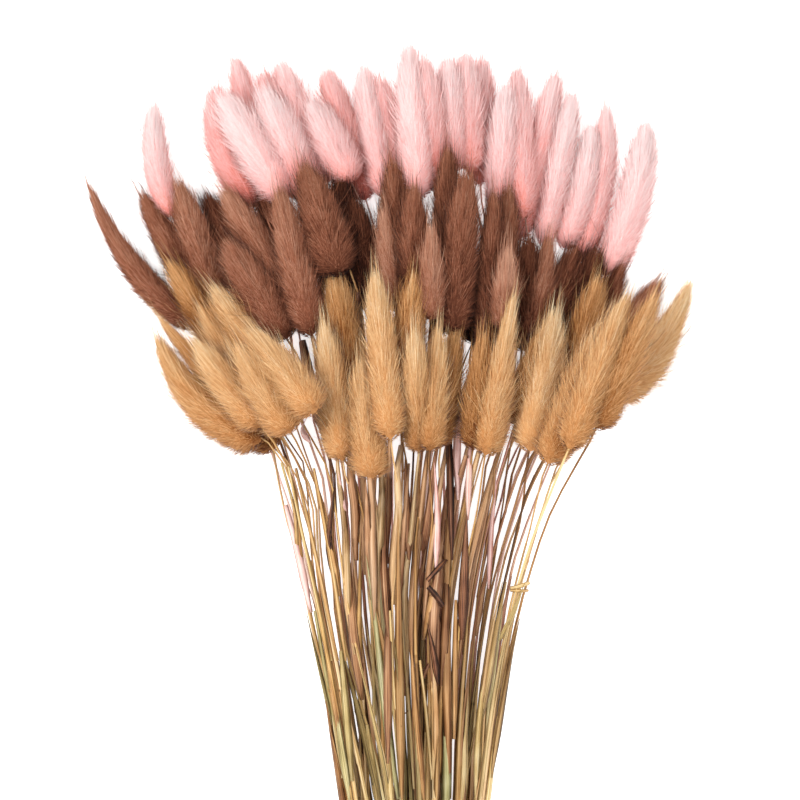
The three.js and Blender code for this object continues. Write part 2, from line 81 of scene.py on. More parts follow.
PLUMES = {
    "pink": [
        [plume((484, 66), (480, 172), 26, tone=-0.1)],
        [plume((553, 78), (522, 222), 30, tone=0.2), plume((576, 100), (545, 246), 28, tone=0.8)],
        [plume((328, 76), (366, 200), 30, tone=-0.8)],
        [plume((236, 66), (262, 170), 26, tone=-0.3)],
        [plume((214, 94), (258, 206), 33, -10, tone=-0.8)],
        [plume((264, 80), (300, 185), 30, tone=-0.5), plume((282, 68), (318, 178), 36, tone=0.3)],
        [plume((468, 62), (472, 172), 28, tone=0.0), plume((449, 66), (456, 170), 32, tone=0.6)],
        [plume((609, 113), (580, 264), 26, 8, tone=0.1), plume((592, 133), (564, 248), 30, 6, tone=0.8)],
        [plume((384, 88), (398, 190), 26, tone=-0.7), plume((364, 73), (386, 197), 32, tone=0.5)],
        [plume((426, 68), (436, 178), 28, tone=-0.3), plume((409, 51), (420, 200), 34, tone=0.8)],
        [plume((520, 75), (524, 205), 28, tone=0.0), plume((506, 92), (500, 214), 32, tone=0.6)],
        [plume((151, 112), (171, 216), 29, -6, tone=0.4)],
        [plume((252, 92), (296, 196), 34, tone=0.3), plume((224, 100), (288, 200), 42, tone=0.8)],
        [plume((312, 103), (350, 178), 34, tone=0.6)],
        [plume((648, 128), (605, 277), 36, 8, tone=0.9)],
    ],
    "brown": [
        [plume((208, 203), (250, 300), 30, tone=-1.0)],
        [plume((262, 204), (300, 300), 28, tone=-0.9)],
        [plume((384, 196), (392, 280), 20, tone=-1.0)],
        [plume((490, 250), (472, 342), 26, tone=-0.9)],
        [plume((343, 190), (352, 300), 28, tone=-0.7), plume((357, 190), (372, 290), 28, tone=-0.8)],
        [plume((596, 260), (566, 336), 30, tone=-0.8), plume((572, 258), (543, 338), 34, tone=-0.5)],
        [plume((655, 291), (606, 368), 30, tone=0.1)],
        [plume((619, 277), (588, 345), 26, tone=-0.4)],
        [plume((448, 160), (446, 300), 32, tone=-0.1)],
        [plume((318, 168), (350, 272), 40, tone=0.0)],
        [plume((508, 196), (500, 320), 30, tone=0.0)],
        [plume((493, 205), (487, 356), 28, tone=-0.3)],
        [plume((143, 203), (200, 304), 30, tone=-0.1), plume((180, 189), (215, 302), 38, tone=0.4)],
        [plume((91, 197), (196, 328), 28, -12, 1, tone=0.2)],
        [plume((394, 172), (408, 292), 32, tone=-0.1), plume((385, 222), (398, 312), 28, tone=0.5)],
        [plume((415, 190), (418, 300), 30, tone=0.0), plume((429, 239), (430, 319), 22, tone=0.6)],
        [plume((228, 198), (296, 306), 36, tone=0.6)],
        [plume((229, 249), (286, 338), 34, tone=0.6)],
        [plume((281, 200), (312, 338), 36, tone=0.4)],
        [plume((470, 185), (454, 342), 32, tone=-0.1)],
        [plume((529, 248), (522, 352), 26, tone=-0.8), plume((548, 250), (528, 353), 28, tone=0.3)],
        [plume((507, 261), (502, 330), 24, tone=1.0)],
    ],
    "tan": [
        [plume((174, 270), (236, 372), 28, tone=-0.8)],
        [plume((414, 284), (400, 400), 32, tone=-0.7)],
        [plume((458, 338), (440, 446), 28, tone=-0.9)],
        [plume((200, 372), (276, 450), 34, tone=-0.4)],
        [plume((597, 289), (566, 400), 34, tone=-0.9)],
        [plume((335, 281), (352, 396), 34, tone=-0.6)],
        [plume((326, 334), (343, 462), 36, tone=0.5)],
        [plume((362, 372), (372, 480), 38, tone=0.3)],
        [plume((376, 284), (391, 441), 34, tone=0.5)],
        [plume((482, 346), (472, 450), 24, tone=-0.8), plume((512, 308), (485, 457), 36, 0, 1, tone=0.4)],
        [plume((688, 294), (612, 396), 44, 8, tone=0.7)],
        [plume((536, 346), (516, 426), 26, tone=-0.6), plume((554, 321), (530, 453), 44, tone=0.9)],
        [plume((216, 297), (286, 396), 36, tone=0.2), plume((204, 316), (272, 420), 32, tone=0.1)],
        [plume((170, 328), (265, 420), 28, -4, 1), plume((156, 342), (258, 434), 46, -14, tone=-0.1)],
        [plume((202, 350), (264, 428), 36, tone=0.4)],
        [plume((604, 330), (546, 465), 40, tone=-0.1)],
        [plume((650, 306), (594, 430), 34, tone=-0.2), plume((622, 306), (566, 450), 36, tone=0.3)],
        [plume((244, 356), (292, 434), 40, tone=0.3), plume((256, 339), (318, 413), 42, tone=0.5)],
        [plume((438, 342), (430, 452), 28, tone=0.2), plume((414, 342), (418, 453), 30, tone=0.4)],
    ],
}
count = sum(len(group) for groups in PLUMES.values() for group in groups)
print(count, "plumes in", sum(len(groups) for groups in PLUMES.values()), "solids")

# %% [markdown]
# The frame's origin is under the middle of the bunch, so the pixels have to be moved to it. The tie's
# middle and the lowest end of one upright plume are places that the frame and the photograph share.

# %% From pixels to the frame
TIE_PIXEL = (414, 1030)
PINK_01_BASE = (480, 172)
tie_low, tie_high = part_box("twine_tie")
pink_low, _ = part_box("pink_head_01")
origin = np.zeros(2)
origin[0] = (tie_low.x + tie_high.x) / 2 - (TIE_PIXEL[0] - MIDDLE_PIXEL[0]) * PIXEL
origin[1] = pink_low.y - (MIDDLE_PIXEL[1] - PINK_01_BASE[1]) * PIXEL


def from_pixel(pixel, height=0.0):
    """The place of a pixel in the frame."""
    x = (pixel[0] - MIDDLE_PIXEL[0]) * PIXEL + origin[0]
    y = (MIDDLE_PIXEL[1] - pixel[1]) * PIXEL + origin[1]
    return np.array([x, y, height])


def unit(vectors):
    length = np.linalg.norm(vectors, axis=-1, keepdims=True)
    return vectors / np.maximum(length, 1e-12)


def points_of(node):
    """The corners of one of the frame's solids."""
    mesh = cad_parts[node].data
    points = np.zeros(len(mesh.vertices) * 3, np.float32)
    mesh.vertices.foreach_get("co", points)
    return points.reshape(-1, 3).astype(float)


tie_middle = from_pixel(TIE_PIXEL)
print("the tie's middle in mm:", np.round(tie_middle / MM, 2))

# %% [markdown]
# Each plume has an axis from its base to its tip, which may bow. Two plumes that are pressed together are
# moved towards each other, by the same rule as in the frame. How high each one lies is read from its solid,
# which has a corner at the base and one at the tip.

# %% The plumes' shapes
DENSE_SHARE = 0.82
FLATNESS = 0.8
PAIR_APART = 0.64
PAIR_SWING = 0.7
TIP_CORNER = 0.99
CORNER_MISSED = 0.1 * MM


def smooth(values, low, high):
    """From 0 at the low value to 1 at the high one, without a corner."""
    share = np.clip((values - low) / (high - low), 0, 1)
    return share * share * (3 - 2 * share)


def axis_at(shape, t):
    """Places on a plume's axis, at shares of its length. Below the base it goes straight on."""
    t = np.asarray(t, float)[..., None]
    bulge = 4 * t * (1 - t) * np.where(t < 0, 0, shape["bow"])
    places = shape["from"] + (shape["to"] - shape["from"]) * t + shape["right"] * bulge
    return places + UP * (shape["foot"] + shape["rise"] * t)


def measured(entry):
    """A plume's shape as the photograph has it, still on the ground."""
    start, end = from_pixel(entry["base"]), from_pixel(entry["tip"])
    right = np.cross(unit(end - start), UP)
    return {
        "from": start, "to": end, "right": right, "radius": entry["width"] * PIXEL / 2,
        "bow": entry["bow"] * PIXEL, "slim": entry["slim"], "tone": entry["tone"], "foot": 0.0, "rise": 0.0,
    }


def press_together(back, front):
    """Moves two plumes towards each other until they touch, their tips more than their bases."""
    apart = float((axis_at(front, 0.5) - axis_at(back, 0.5)) @ back["right"])
    excess = abs(apart) - PAIR_APART * DENSE_SHARE * (back["radius"] + front["radius"])
    shift = back["right"] * math.copysign(excess / 2, apart)
    for shape, way in ((back, 1), (front, -1)):
        shape["from"] = shape["from"] + shift * way * (1 - PAIR_SWING)
        shape["to"] = shape["to"] + shift * way * (1 + PAIR_SWING)


def lay(shape, corners):
    """Lifts a plume to the height of its solid's corners at the base and at the tip."""
    heights = []
    for t in (0.0, TIP_CORNER):
        away = np.linalg.norm((corners - axis_at(shape, t))[:, :2], axis=1)
        nearest = int(np.argmin(away))
        heights.append(corners[nearest, 2])
        shape["miss"] = max(shape.get("miss", 0.0), away[nearest])
    shape["foot"] = heights[0]
    shape["rise"] = (heights[1] - heights[0]) / TIP_CORNER


shapes = {}
for colour, groups in PLUMES.items():
    for number, group in enumerate(groups, 1):
        node = f"{colour}_head_{number:02d}"
        pair = [measured(entry) for entry in group]
        if len(pair) == 2:
            press_together(*pair)
        for shape in pair:
            lay(shape, points_of(node))
        shapes[node] = pair
misses = {node: max(shape["miss"] for shape in pair) for node, pair in shapes.items()}
missed = {node: round(miss / MM, 2) for node, miss in misses.items() if miss > CORNER_MISSED}
print("corners that weren't met, in mm:", missed)

# %% [markdown]
# ## Places of the stems
#
# In the tie the stems lie in rows, two for each colour, in the order of their plumes from left to right.
# Above it they fan out to the necks of their plumes. Their bends over the ground are worked out by the same
# smooth curve as the frame's, and their heights are read from the corners of the frame's coarse stems.

# %% The stems' places in the tie
LOWER_ROW = {"pink": 10, "brown": 14, "tan": 14}
STEM_WIDTH, STEM_HEIGHT, STEM_AT_HEAD, STEM_PITCH = 2.2 * MM, 2 * MM, 1.1 * MM, 2.05 * MM
TWINE_RADIUS, GAP, LINK_DEPTH = 1.1 * MM, 0.3 * MM, 0.15 * MM
TIE_TO_CUT, CUT_UNEVEN, CUT_SPREAD, CUT_SPREAD_UP = 31 * MM, 6 * MM, 0.35, 0.25
FAN_RATE, NECK, NECK_PULL, TAPER_FROM = 0.0125 / MM, 0.3, 0.8, 0.45
BENDS = (0, 0.23, 0.6, 1)
WAVE_A, WAVE_B, WAVE_SCALE = 127.1, 311.7, 43758.5453

lowest_row = TWINE_RADIUS * math.sqrt(3) + GAP + STEM_HEIGHT / 2
row_heights = lowest_row + np.arange(6) * (STEM_HEIGHT + GAP)
bundle_middle = (row_heights[0] + row_heights[-1]) / 2


def uneven(a, b):
    """A number from 0 to 1 that looks like chance, and is the same as in the frame."""
    wave = math.sin(a * WAVE_A + b * WAVE_B) * WAVE_SCALE
    return wave - math.floor(wave)


def deal_slots(colour, first_row, colour_shapes):
    """Gives each stem of a colour its place in the tie. One in each upper row lies a little lower."""
    lower = LOWER_ROW[colour]
    rows = [colour_shapes[:lower], colour_shapes[lower:]]
    for upper, row in enumerate(rows):
        row.sort(key=lambda s: math.atan2(*(s["from"] - tie_middle)[:2]))
        aside = ((len(rows[0]) - len(row)) % 2) / 2 if upper else 0
        for place, shape in enumerate(row):
            x = tie_middle[0] + (place - (len(row) - 1) / 2 + aside) * STEM_PITCH
            links = bool(upper) and place == len(row) // 2
            height = row_heights[first_row + upper] - (GAP + LINK_DEPTH if links else 0)
            shape["slot"] = np.array([x, tie_middle[1], height])


for index, (colour, groups) in enumerate(PLUMES.items()):
    in_order = []
    for number in range(1, len(groups) + 1):
        for place, shape in enumerate(shapes[f"{colour}_head_{number:02d}"]):
            shape["seed"] = index * 100 + (number - 1) * 10 + place
            in_order.append(shape)
    deal_slots(colour, index * 2, in_order)
print("rows of stems in the tie at mm:", np.round(row_heights / MM, 2))

# %% The stems' ways
CUT_WAVE = 7
CORNER_MET = 0.02 * MM


def stem_width_at(share):
    return (STEM_WIDTH + (STEM_AT_HEAD - STEM_WIDTH) * smooth(np.asarray(share, float), TAPER_FROM, 1)) / 2


def stem_way(shape, neck_share=NECK, pull=NECK_PULL):
    """The cut end, the place in the tie, two bends, the neck and the top. The bends have no height yet."""
    start, neck = axis_at(shape, 0), axis_at(shape, -neck_share)
    along = unit(start - neck)
    slot = shape["slot"]
    length = np.linalg.norm(neck - slot)
    leaving = unit(np.array([(slot[0] - tie_middle[0]) * FAN_RATE, 1, 0]))
    way = []
    for share in BENDS:
        s2, s3 = share**2, share**3
        place = slot * (2 * s3 - 3 * s2 + 1) + leaving * (s3 - 2 * s2 + share) * length
        place = place + neck * (3 * s2 - 2 * s3) + along * (s3 - s2) * length * pull
        way.append(place)
    out = TIE_TO_CUT + (uneven(shape["seed"], CUT_WAVE) - 0.5) * 2 * CUT_UNEVEN
    aside = (slot[0] - tie_middle[0]) * CUT_SPREAD
    up = (slot[2] - bundle_middle) * CUT_SPREAD_UP
    cut = slot + np.array([aside, -out, up])
    return np.array([cut, *way, start - along * GAP])


def read_heights(way, corners):
    """Gives the bends the heights of the frame's stem there. Counts those that it had to fill in."""
    found = [way[0, 2], way[1, 2]]
    for index in range(2, len(way)):
        along = (way[min(index + 1, len(way) - 1)] - way[index - 1])[:2]
        across = np.array([along[1], -along[0]]) / np.linalg.norm(along)
        half = stem_width_at((index - 1) / (len(way) - 2))
        heights = []
        for side in (-1, 1):
            away = np.linalg.norm(corners[:, :2] - (way[index, :2] + side * across * half), axis=1)
            nearest = int(np.argmin(away))
            if away[nearest] < CORNER_MET:
                heights.append(corners[nearest, 2])
        found.append(np.mean(heights) if heights else None)
    known = [i for i, height in enumerate(found) if height is not None]
    way[:, 2] = np.interp(np.arange(len(way)), known, [found[i] for i in known])
    return len(found) - len(known)


filled_in = 0
for node, pair in shapes.items():
    corners = points_of(node.split("_")[0] + "_stems")
    for shape in pair:
        shape["way"] = stem_way(shape)
        filled_in += read_heights(shape["way"], corners)
print(filled_in, "bends of", 4 * count, "had no corner of their own and lie between their neighbours")

# %% [markdown]
# ## Camera, light and floor
#
# The camera hangs two metres over the bunch with a long lens, so that it sees every plume from straight
# above, as the photograph does. Its field is the photograph's 800 pixels. A pale sky lights the bunch from
# all sides. A soft lamp beyond its far left corner gives every plume a lighter and a darker side, and a
# wider and weaker one beyond the near right corner lightens the shadows.

# %% The camera
PHOTO_PIXELS = 800
CAMERA_DISTANCE = 2.0
SENSOR = 36.0
MIDDLE_HEIGHT = 24 * MM
centre = from_pixel((PHOTO_PIXELS / 2, PHOTO_PIXELS / 2), MIDDLE_HEIGHT)
bpy.ops.object.camera_add(location=centre + UP * CAMERA_DISTANCE, rotation=(0, 0, 0))
camera = bpy.context.object
camera.name = "camera"
camera.data.sensor_width = SENSOR
camera.data.lens = SENSOR * CAMERA_DISTANCE / (PHOTO_PIXELS * PIXEL)
bpy.context.scene.camera = camera
print("lens:", round(camera.data.lens), "mm")

# %% The lights
SKY_STRENGTH = 0.92
SOFT_LAMPS = [
    {"name": "key_lamp", "at": (-1.0, 0.5, 1.4), "size": 1.2, "power": 21.0},
    {"name": "fill_lamp", "at": (1.1, -0.9, 1.3), "size": 1.8, "power": 7.0},
]
for lamp in SOFT_LAMPS:
    bpy.ops.object.light_add(type="AREA", location=lamp["at"])
    light = bpy.context.object
    light.name = lamp["name"]
    light.data.shape = "DISK"
    light.data.size = lamp["size"]
    light.data.energy = lamp["power"]
    light.rotation_euler = (-light.location).to_track_quat("-Z", "Y").to_euler()

world = bpy.data.worlds.new("pale_sky")
world.use_nodes = True
world.node_tree.nodes["Background"].inputs["Color"].default_value = (1, 1, 1, 1)
world.node_tree.nodes["Background"].inputs["Strength"].default_value = SKY_STRENGTH
bpy.context.scene.world = world
bpy.context.scene.view_settings.view_transform = "Standard"
print(len(SOFT_LAMPS), "lamps and a pale sky")

# %% The floor
FLOOR_SIZE = 12.0
FLOOR_DROP = 0.1 * MM


def linear(code):
    """A colour that is written as #rrggbb, as the shader's numbers."""
    channels = [int(code[i : i + 2], 16) / 255 for i in (1, 3, 5)]
    return [c / 12.92 if c <= 0.04045 else ((c + 0.055) / 1.055) ** 2.4 for c in channels] + [1.0]


def new_material(name, roughness, looks=None):
    """A new material, and its shader with some inputs filled in."""
    material = bpy.data.materials.new(name)
    material.use_nodes = True
    shader = material.node_tree.nodes["Principled BSDF"]
    shader.inputs["Roughness"].default_value = roughness
    for key, value in (looks or {}).items():
        shader.inputs[key].default_value = value
    return material, shader


bpy.ops.object.select_all(action="DESELECT")
bpy.ops.mesh.primitive_plane_add(size=FLOOR_SIZE, location=(0, 0, -FLOOR_DROP))
floor = bpy.context.object
floor.name = "floor"
floor_looks = {"Base Color": linear("#f7f7f6"), "Emission Color": (1, 1, 1, 1), "Emission Strength": 0.75}
floor_material, _ = new_material("pale_floor", 0.9, floor_looks)
floor.data.materials.append(floor_material)
print("a floor of", FLOOR_SIZE, "m")

# %% [markdown]
# ## Meshes
#
# The fur has hundreds of thousands of points, so its meshes are filled from whole arrays at once. Each one
# keeps a number for each point, from 0 for the darkest shade of its material to 1 for the lightest.

# %% A mesh from arrays
def mesh_piece(name, points, face_sets, material, values, normals=None):
    """One piece from points, sets of faces with as many corners each, and numbers for each point."""
    mesh = bpy.data.meshes.new(name)
    mesh.vertices.add(len(points))
    mesh.vertices.foreach_set("co", np.asarray(points, np.float32).ravel())
    face_sets = [np.asarray(faces, np.int32) for faces in face_sets if len(faces)]
    corners = np.concatenate([faces.ravel() for faces in face_sets])
    sizes = np.concatenate([np.full(len(faces), faces.shape[1], np.int32) for faces in face_sets])
    starts = np.concatenate([[0], np.cumsum(sizes)[:-1]]).astype(np.int32)
    mesh.loops.add(len(corners))
    mesh.loops.foreach_set("vertex_index", corners)
    mesh.polygons.add(len(sizes))
    mesh.polygons.foreach_set("loop_start", starts)
    mesh.update(calc_edges=True)
    mesh.shade_smooth()
    for key, numbers in values.items():
        attribute = mesh.attributes.new(key, "FLOAT", "POINT")
        attribute.data.foreach_set("value", np.asarray(numbers, np.float32))
    if normals is not None:
        mesh.normals_split_custom_set_from_vertices(np.asarray(normals, np.float32))
    mesh.materials.append(material)
    piece = bpy.data.objects.new(name, mesh)
    bpy.context.scene.collection.objects.link(piece)
    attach(piece, "root")
    return piece


print("every piece is filled from arrays")

# %% [markdown]
# ## Plumes
#
# A plume is hundreds of tiny flowers packed on a spike, each with silky hairs that sweep towards the tip.
# Two hairs are modelled. The short one is a single thin triangle, because thousands of copies of it have to
# fit in a plume. The long one, for the feathery outline, is a narrow blade with a bend. The dense body inside
# is a ball that is drawn out to the plume's form.

# %% The short hair
def arrays_of(model):
    """The points and faces of a small model, which is removed."""
    points = np.array([vertex.co for vertex in model.data.vertices])
    faces = np.array([face.vertices for face in model.data.polygons])
    bpy.data.objects.remove(model)
    return {"points": points, "faces": faces}


# A triangle in a circle of radius 1 is 1.5 long and sqrt(3) wide. The hair is 1 long and 1 wide.
bpy.context.tool_settings.mesh_select_mode = (True, False, False)
bpy.ops.object.select_all(action="DESELECT")
bpy.ops.mesh.primitive_circle_add(vertices=3, radius=1, fill_type="NGON", rotation=(0, 0, 0))
short_hair = bpy.context.object
bpy.ops.object.mode_set(mode="EDIT")
bpy.ops.mesh.select_all(action="SELECT")
bpy.ops.transform.translate(value=(0, 0.5, 0))
bpy.ops.transform.resize(value=(1 / math.sqrt(3), 1 / 1.5, 1), center_override=(0, 0, 0))
bpy.ops.object.mode_set(mode="OBJECT")
SHORT_HAIR = arrays_of(short_hair)
print("the short hair:", np.round(SHORT_HAIR["points"], 2).tolist())

# %% The long hair
bpy.ops.object.select_all(action="DESELECT")
bpy.ops.mesh.primitive_plane_add(size=1)
long_hair = bpy.context.object
bpy.ops.object.mode_set(mode="EDIT")
bpy.ops.transform.resize(value=(1, 0.5, 1))
bpy.ops.transform.translate(value=(0, 0.25, 0))
bpy.ops.mesh.select_all(action="DESELECT")
bpy.ops.object.mode_set(mode="OBJECT")
for vertex in long_hair.data.vertices:
    vertex.select = vertex.co.y > 0.4
bpy.ops.object.mode_set(mode="EDIT")
bpy.ops.transform.resize(value=(0.8, 1, 1))
bpy.ops.mesh.extrude_region_move(TRANSFORM_OT_translate={"value": (0, 0.5, 0)})
bpy.ops.mesh.merge(type="CENTER")
bpy.ops.mesh.select_all(action="SELECT")
bpy.ops.mesh.quads_convert_to_tris()
bpy.ops.object.mode_set(mode="OBJECT")
LONG_HAIR = arrays_of(long_hair)
print("the long hair:", len(LONG_HAIR["points"]), "points and", len(LONG_HAIR["faces"]), "triangles")

# %% One core
CORE_SIDES = 14

bpy.ops.object.select_all(action="DESELECT")
bpy.ops.mesh.primitive_uv_sphere_add(
    segments=CORE_SIDES, ring_count=CORE_SIDES, radius=1, rotation=(-math.pi / 2, 0, 0)
)
core = bpy.context.object
bpy.ops.object.transform_apply(rotation=True)
bpy.ops.object.mode_set(mode="EDIT")
bpy.ops.mesh.select_all(action="SELECT")
bpy.ops.mesh.quads_convert_to_tris()
bpy.ops.mesh.normals_make_consistent(inside=False)
bpy.ops.object.mode_set(mode="OBJECT")
core_ball = arrays_of(core)
CORE_FACES = core_ball["faces"]
CORE_SHARES = np.arccos(np.clip(-core_ball["points"][:, 1], -1, 1)) / math.pi
CORE_ANGLES = np.arctan2(core_ball["points"][:, 2], core_ball["points"][:, 0])
CORE_ENDS = np.hypot(core_ball["points"][:, 0], core_ball["points"][:, 2]) < 0.01
print("one core:", len(CORE_SHARES), "points and", len(CORE_FACES), "triangles")

# %% [markdown]
# Every hair is rooted in the dense body and leans out past its skin, towards the tip. At the blunt base the
# hairs are short and stand nearly straight off, and further on they lie flatter and grow longer. They
# gather in locks, as silk does. Each point keeps the direction away from the plume's middle as its normal,
# a little shaken, so that the light falls on the fur as on one soft body.
#
# The body is a little lower than wide, because it lies in a heap.

# %% Places on a plume
LOWEST_HAIR = 0.15 * MM
FULL_TURN = 2 * math.pi
BASE_CURVE, BASE_LIFT, TIP_CURVE = 2.4, 0.6, 0.55
SLIMMING, SLIM_FROM, SLIM_TO = 0.45, 0.35, 0.95
AXIS_STEP, SLOPE_STEP = 0.02, 0.04
ROOT_STEPS, LAST_ROOT, LEAST_ROOTS = 200, 0.99, 0.12


def length_of(shape):
    return np.linalg.norm(shape["to"] - shape["from"])


def body(t, shape):
    """The dense body's half width over its greatest: a round base, long flanks and a narrower tip."""
    t = np.clip(t, 0, 1)
    rise = (1 - (1 - np.minimum(t / shape["base_round"], 1)) ** BASE_CURVE) ** BASE_LIFT
    further = np.clip((t - shape["base_round"]) / (1 - shape["base_round"]), 0, 1)
    fall = (1 - further ** shape["tip_round"]) ** TIP_CURVE * (1 - shape["taper"] * further)
    return rise * fall * (1 - shape["slim"] * SLIMMING * smooth(t, SLIM_FROM, SLIM_TO))


def on_plume(shape, t, angle, reach):
    """Points at shares of a plume's length and angles round its axis, and the directions out of it."""
    along = unit(axis_at(shape, t + AXIS_STEP) - axis_at(shape, t - AXIS_STEP))
    across = unit(np.cross(along, UP))
    up = np.cross(across, along)
    side, rise = np.cos(angle)[:, None], np.sin(angle)[:, None]
    points = axis_at(shape, t) + (across * side + up * rise * FLATNESS) * reach[:, None]
    points[:, 2] = np.maximum(points[:, 2], LOWEST_HAIR)
    slope = (body(t + SLOPE_STEP, shape) - body(t - SLOPE_STEP, shape)) * shape["radius"]
    steepness = slope / (2 * SLOPE_STEP * length_of(shape))
    away = across * side + up * rise / FLATNESS - along * steepness[:, None]
    return points, unit(away)


def shares_over(rng, number, shape, first=0.0):
    """As many roots on each patch of the body's skin as on any other."""
    steps = np.linspace(first, LAST_ROOT, ROOT_STEPS)
    weight = np.cumsum(body(steps, shape) + LEAST_ROOTS)
    return np.interp((np.arange(number) + rng.random(number)) / number, weight / weight[-1], steps)


print("no hair lies lower than", LOWEST_HAIR / MM, "mm")

# %% How closely the plumes lie
CROWD_STEPS, CROWD_TURNS = 12, 16
CROWD_REACH, CROWD_SINK = 5 * MM, 2 * MM
CROWD_BELOW, CROWD_ABOVE = 10 * MM, 8 * MM
SHADE_BESIDE, SHADE_ABOVE = 0.4, 0.6
AXIS_FROM, AXIS_TO, AXIS_PLACES = 0.08, 0.92, 8


# Where other plumes press close, and most where they lie over a patch, its fur is painted darker: painted
# shade between the plumes.
def crowding(shape, others):
    """How closely the others surround each patch of a plume, from 0 in the open to 1 under pressure."""
    steps, turns = np.linspace(0, 1, CROWD_STEPS), np.arange(CROWD_TURNS) / CROWD_TURNS * FULL_TURN
    t, angle = [grid.ravel() for grid in np.meshgrid(steps, turns, indexing="ij")]
    patches, _ = on_plume(shape, t, angle, body(t, shape) * shape["radius"])
    crowd = np.zeros(len(t))
    for other in others:
        if other is shape:
            continue
        axis = axis_at(other, np.linspace(AXIS_FROM, AXIS_TO, AXIS_PLACES))
        gaps = np.linalg.norm(patches[:, None] - axis, axis=-1).min(axis=1) - other["radius"]
        above = smooth(axis[:, 2].mean() - patches[:, 2], -CROWD_BELOW, CROWD_ABOVE)
        pressed = smooth(-gaps, -CROWD_REACH, CROWD_SINK)
        crowd += pressed * (SHADE_BESIDE + SHADE_ABOVE * above)
    return np.minimum(crowd, 1).reshape(CROWD_STEPS, CROWD_TURNS)


def crowd_at(shape, t, angle):
    step = np.clip(np.rint(t * (CROWD_STEPS - 1)), 0, CROWD_STEPS - 1).astype(int)
    turn = np.rint(angle / FULL_TURN * CROWD_TURNS).astype(int) % CROWD_TURNS
    return shape["crowd"][step, turn]


print("crowding is worked out on", CROWD_STEPS * CROWD_TURNS, "patches of each plume")

# %% [markdown]
# Each plume has five kinds of hair: a dense short coat, finer hairs that stand further off, a brush at the
# tip, and two kinds of long ones. An entry gives how many there are, where on the plume they start, their
# length and width, and how deep they are rooted and how far out they end, as shares of the body's half
# width. The other numbers say how much a lock pulls them together, how far they pass the tip, how wide they
# spread there and how much paler they are.

# %% The coat
COAT = [
    {
        "hair": SHORT_HAIR, "number": 6900, "first": 0.0, "lengths": (4.0 * MM, 8.5 * MM), "width": 0.27 * MM,
        "root": 0.62, "out": (0.92, 1.14), "lock_pull": 0.4, "past": 0.03, "spread": 1.0, "paler": 0.0,
    },
    {
        "hair": SHORT_HAIR, "number": 2300, "first": 0.05, "lengths": (6 * MM, 12 * MM), "width": 0.18 * MM,
        "root": 0.7, "out": (1.0, 1.5), "lock_pull": 0.3, "past": 0.06, "spread": 1.0, "paler": 0.07,
    },
    {
        "hair": SHORT_HAIR, "number": 700, "first": 0.7, "lengths": (8 * MM, 15 * MM), "width": 0.19 * MM,
        "root": 0.6, "out": (0.7, 1.6), "lock_pull": 0.2, "past": 0.13, "spread": 1.0, "paler": 0.1,
    },
    {
        "hair": LONG_HAIR, "number": 290, "first": 0.25, "lengths": (10 * MM, 19 * MM), "width": 0.15 * MM,
        "root": 0.7, "out": (1.2, 2.3), "lock_pull": 0.1, "past": 0.14, "spread": 1.0, "paler": 0.14,
    },
    {
        "hair": LONG_HAIR, "number": 80, "first": 0.62, "lengths": (14 * MM, 24 * MM), "width": 0.16 * MM,
        "root": 0.6, "out": (0.5, 1.6), "lock_pull": 0.05, "past": 0.36, "spread": 2.6, "paler": 0.22,
    },
]
print("hairs of one plume:", sum(kind["number"] for kind in COAT))

# %% Hairs of one plume
LOCKS = 240
LOCK_OUT, LOCK_TURN = 0.035, 0.1
LAID_FROM, LAID_TO, LAID, STANDING = -0.05, 0.3, 0.95, 0.12
SHORTEST, LONGER, GROWS_FROM, GROWS_TO = 0.6, 0.4, 0.1, 0.9
OUT_POWER, TUFT_FROM = 1.6, 0.2
MIDDLE, MIDDLE_TURN, MIDDLE_OUT = 0.5, 0.4, 0.55
ROLL_FROM, ROLL_TO, ROLL_LEVEL = 0.1, 1.1, 0.2
HAIR_SHAKE, LOCK_SHAKE = 0.17, 0.13
HAIR_UNEVEN, LOCK_UNEVEN = 0.11, 0.06
CROWD_BLUR, CROWD_TURN_BLUR = 0.04, 0.2
FACING_PAINTED_SHADE, FACING_PAINTED_LEVEL = 0.24, 0.55
ROOT_PAINTED_SHADE, ROOT_PAINTED_LEVEL = 0.4, 0.75
TIP_GLOW = 0.5
USUAL_LENGTH = 45 * MM


def half_turned(angles):
    """The same angles, from half a turn back to half a turn on."""
    return (angles + math.pi) % FULL_TURN - math.pi


def locks_of(shape, rng, t, angle):
    """The nearest lock of each hair, and the angle from the hair to it."""
    radius = shape["radius"] * shape["puff"]
    lock_t, lock_angle = shares_over(rng, LOCKS, shape), rng.random(LOCKS) * FULL_TURN
    turn = np.abs(half_turned(angle[:, None] - lock_angle))
    nearness = ((t[:, None] - lock_t) * length_of(shape)) ** 2 + (turn * radius * 2) ** 2
    lock = np.argmin(nearness, axis=1)
    return lock, half_turned(lock_angle[lock] - angle)


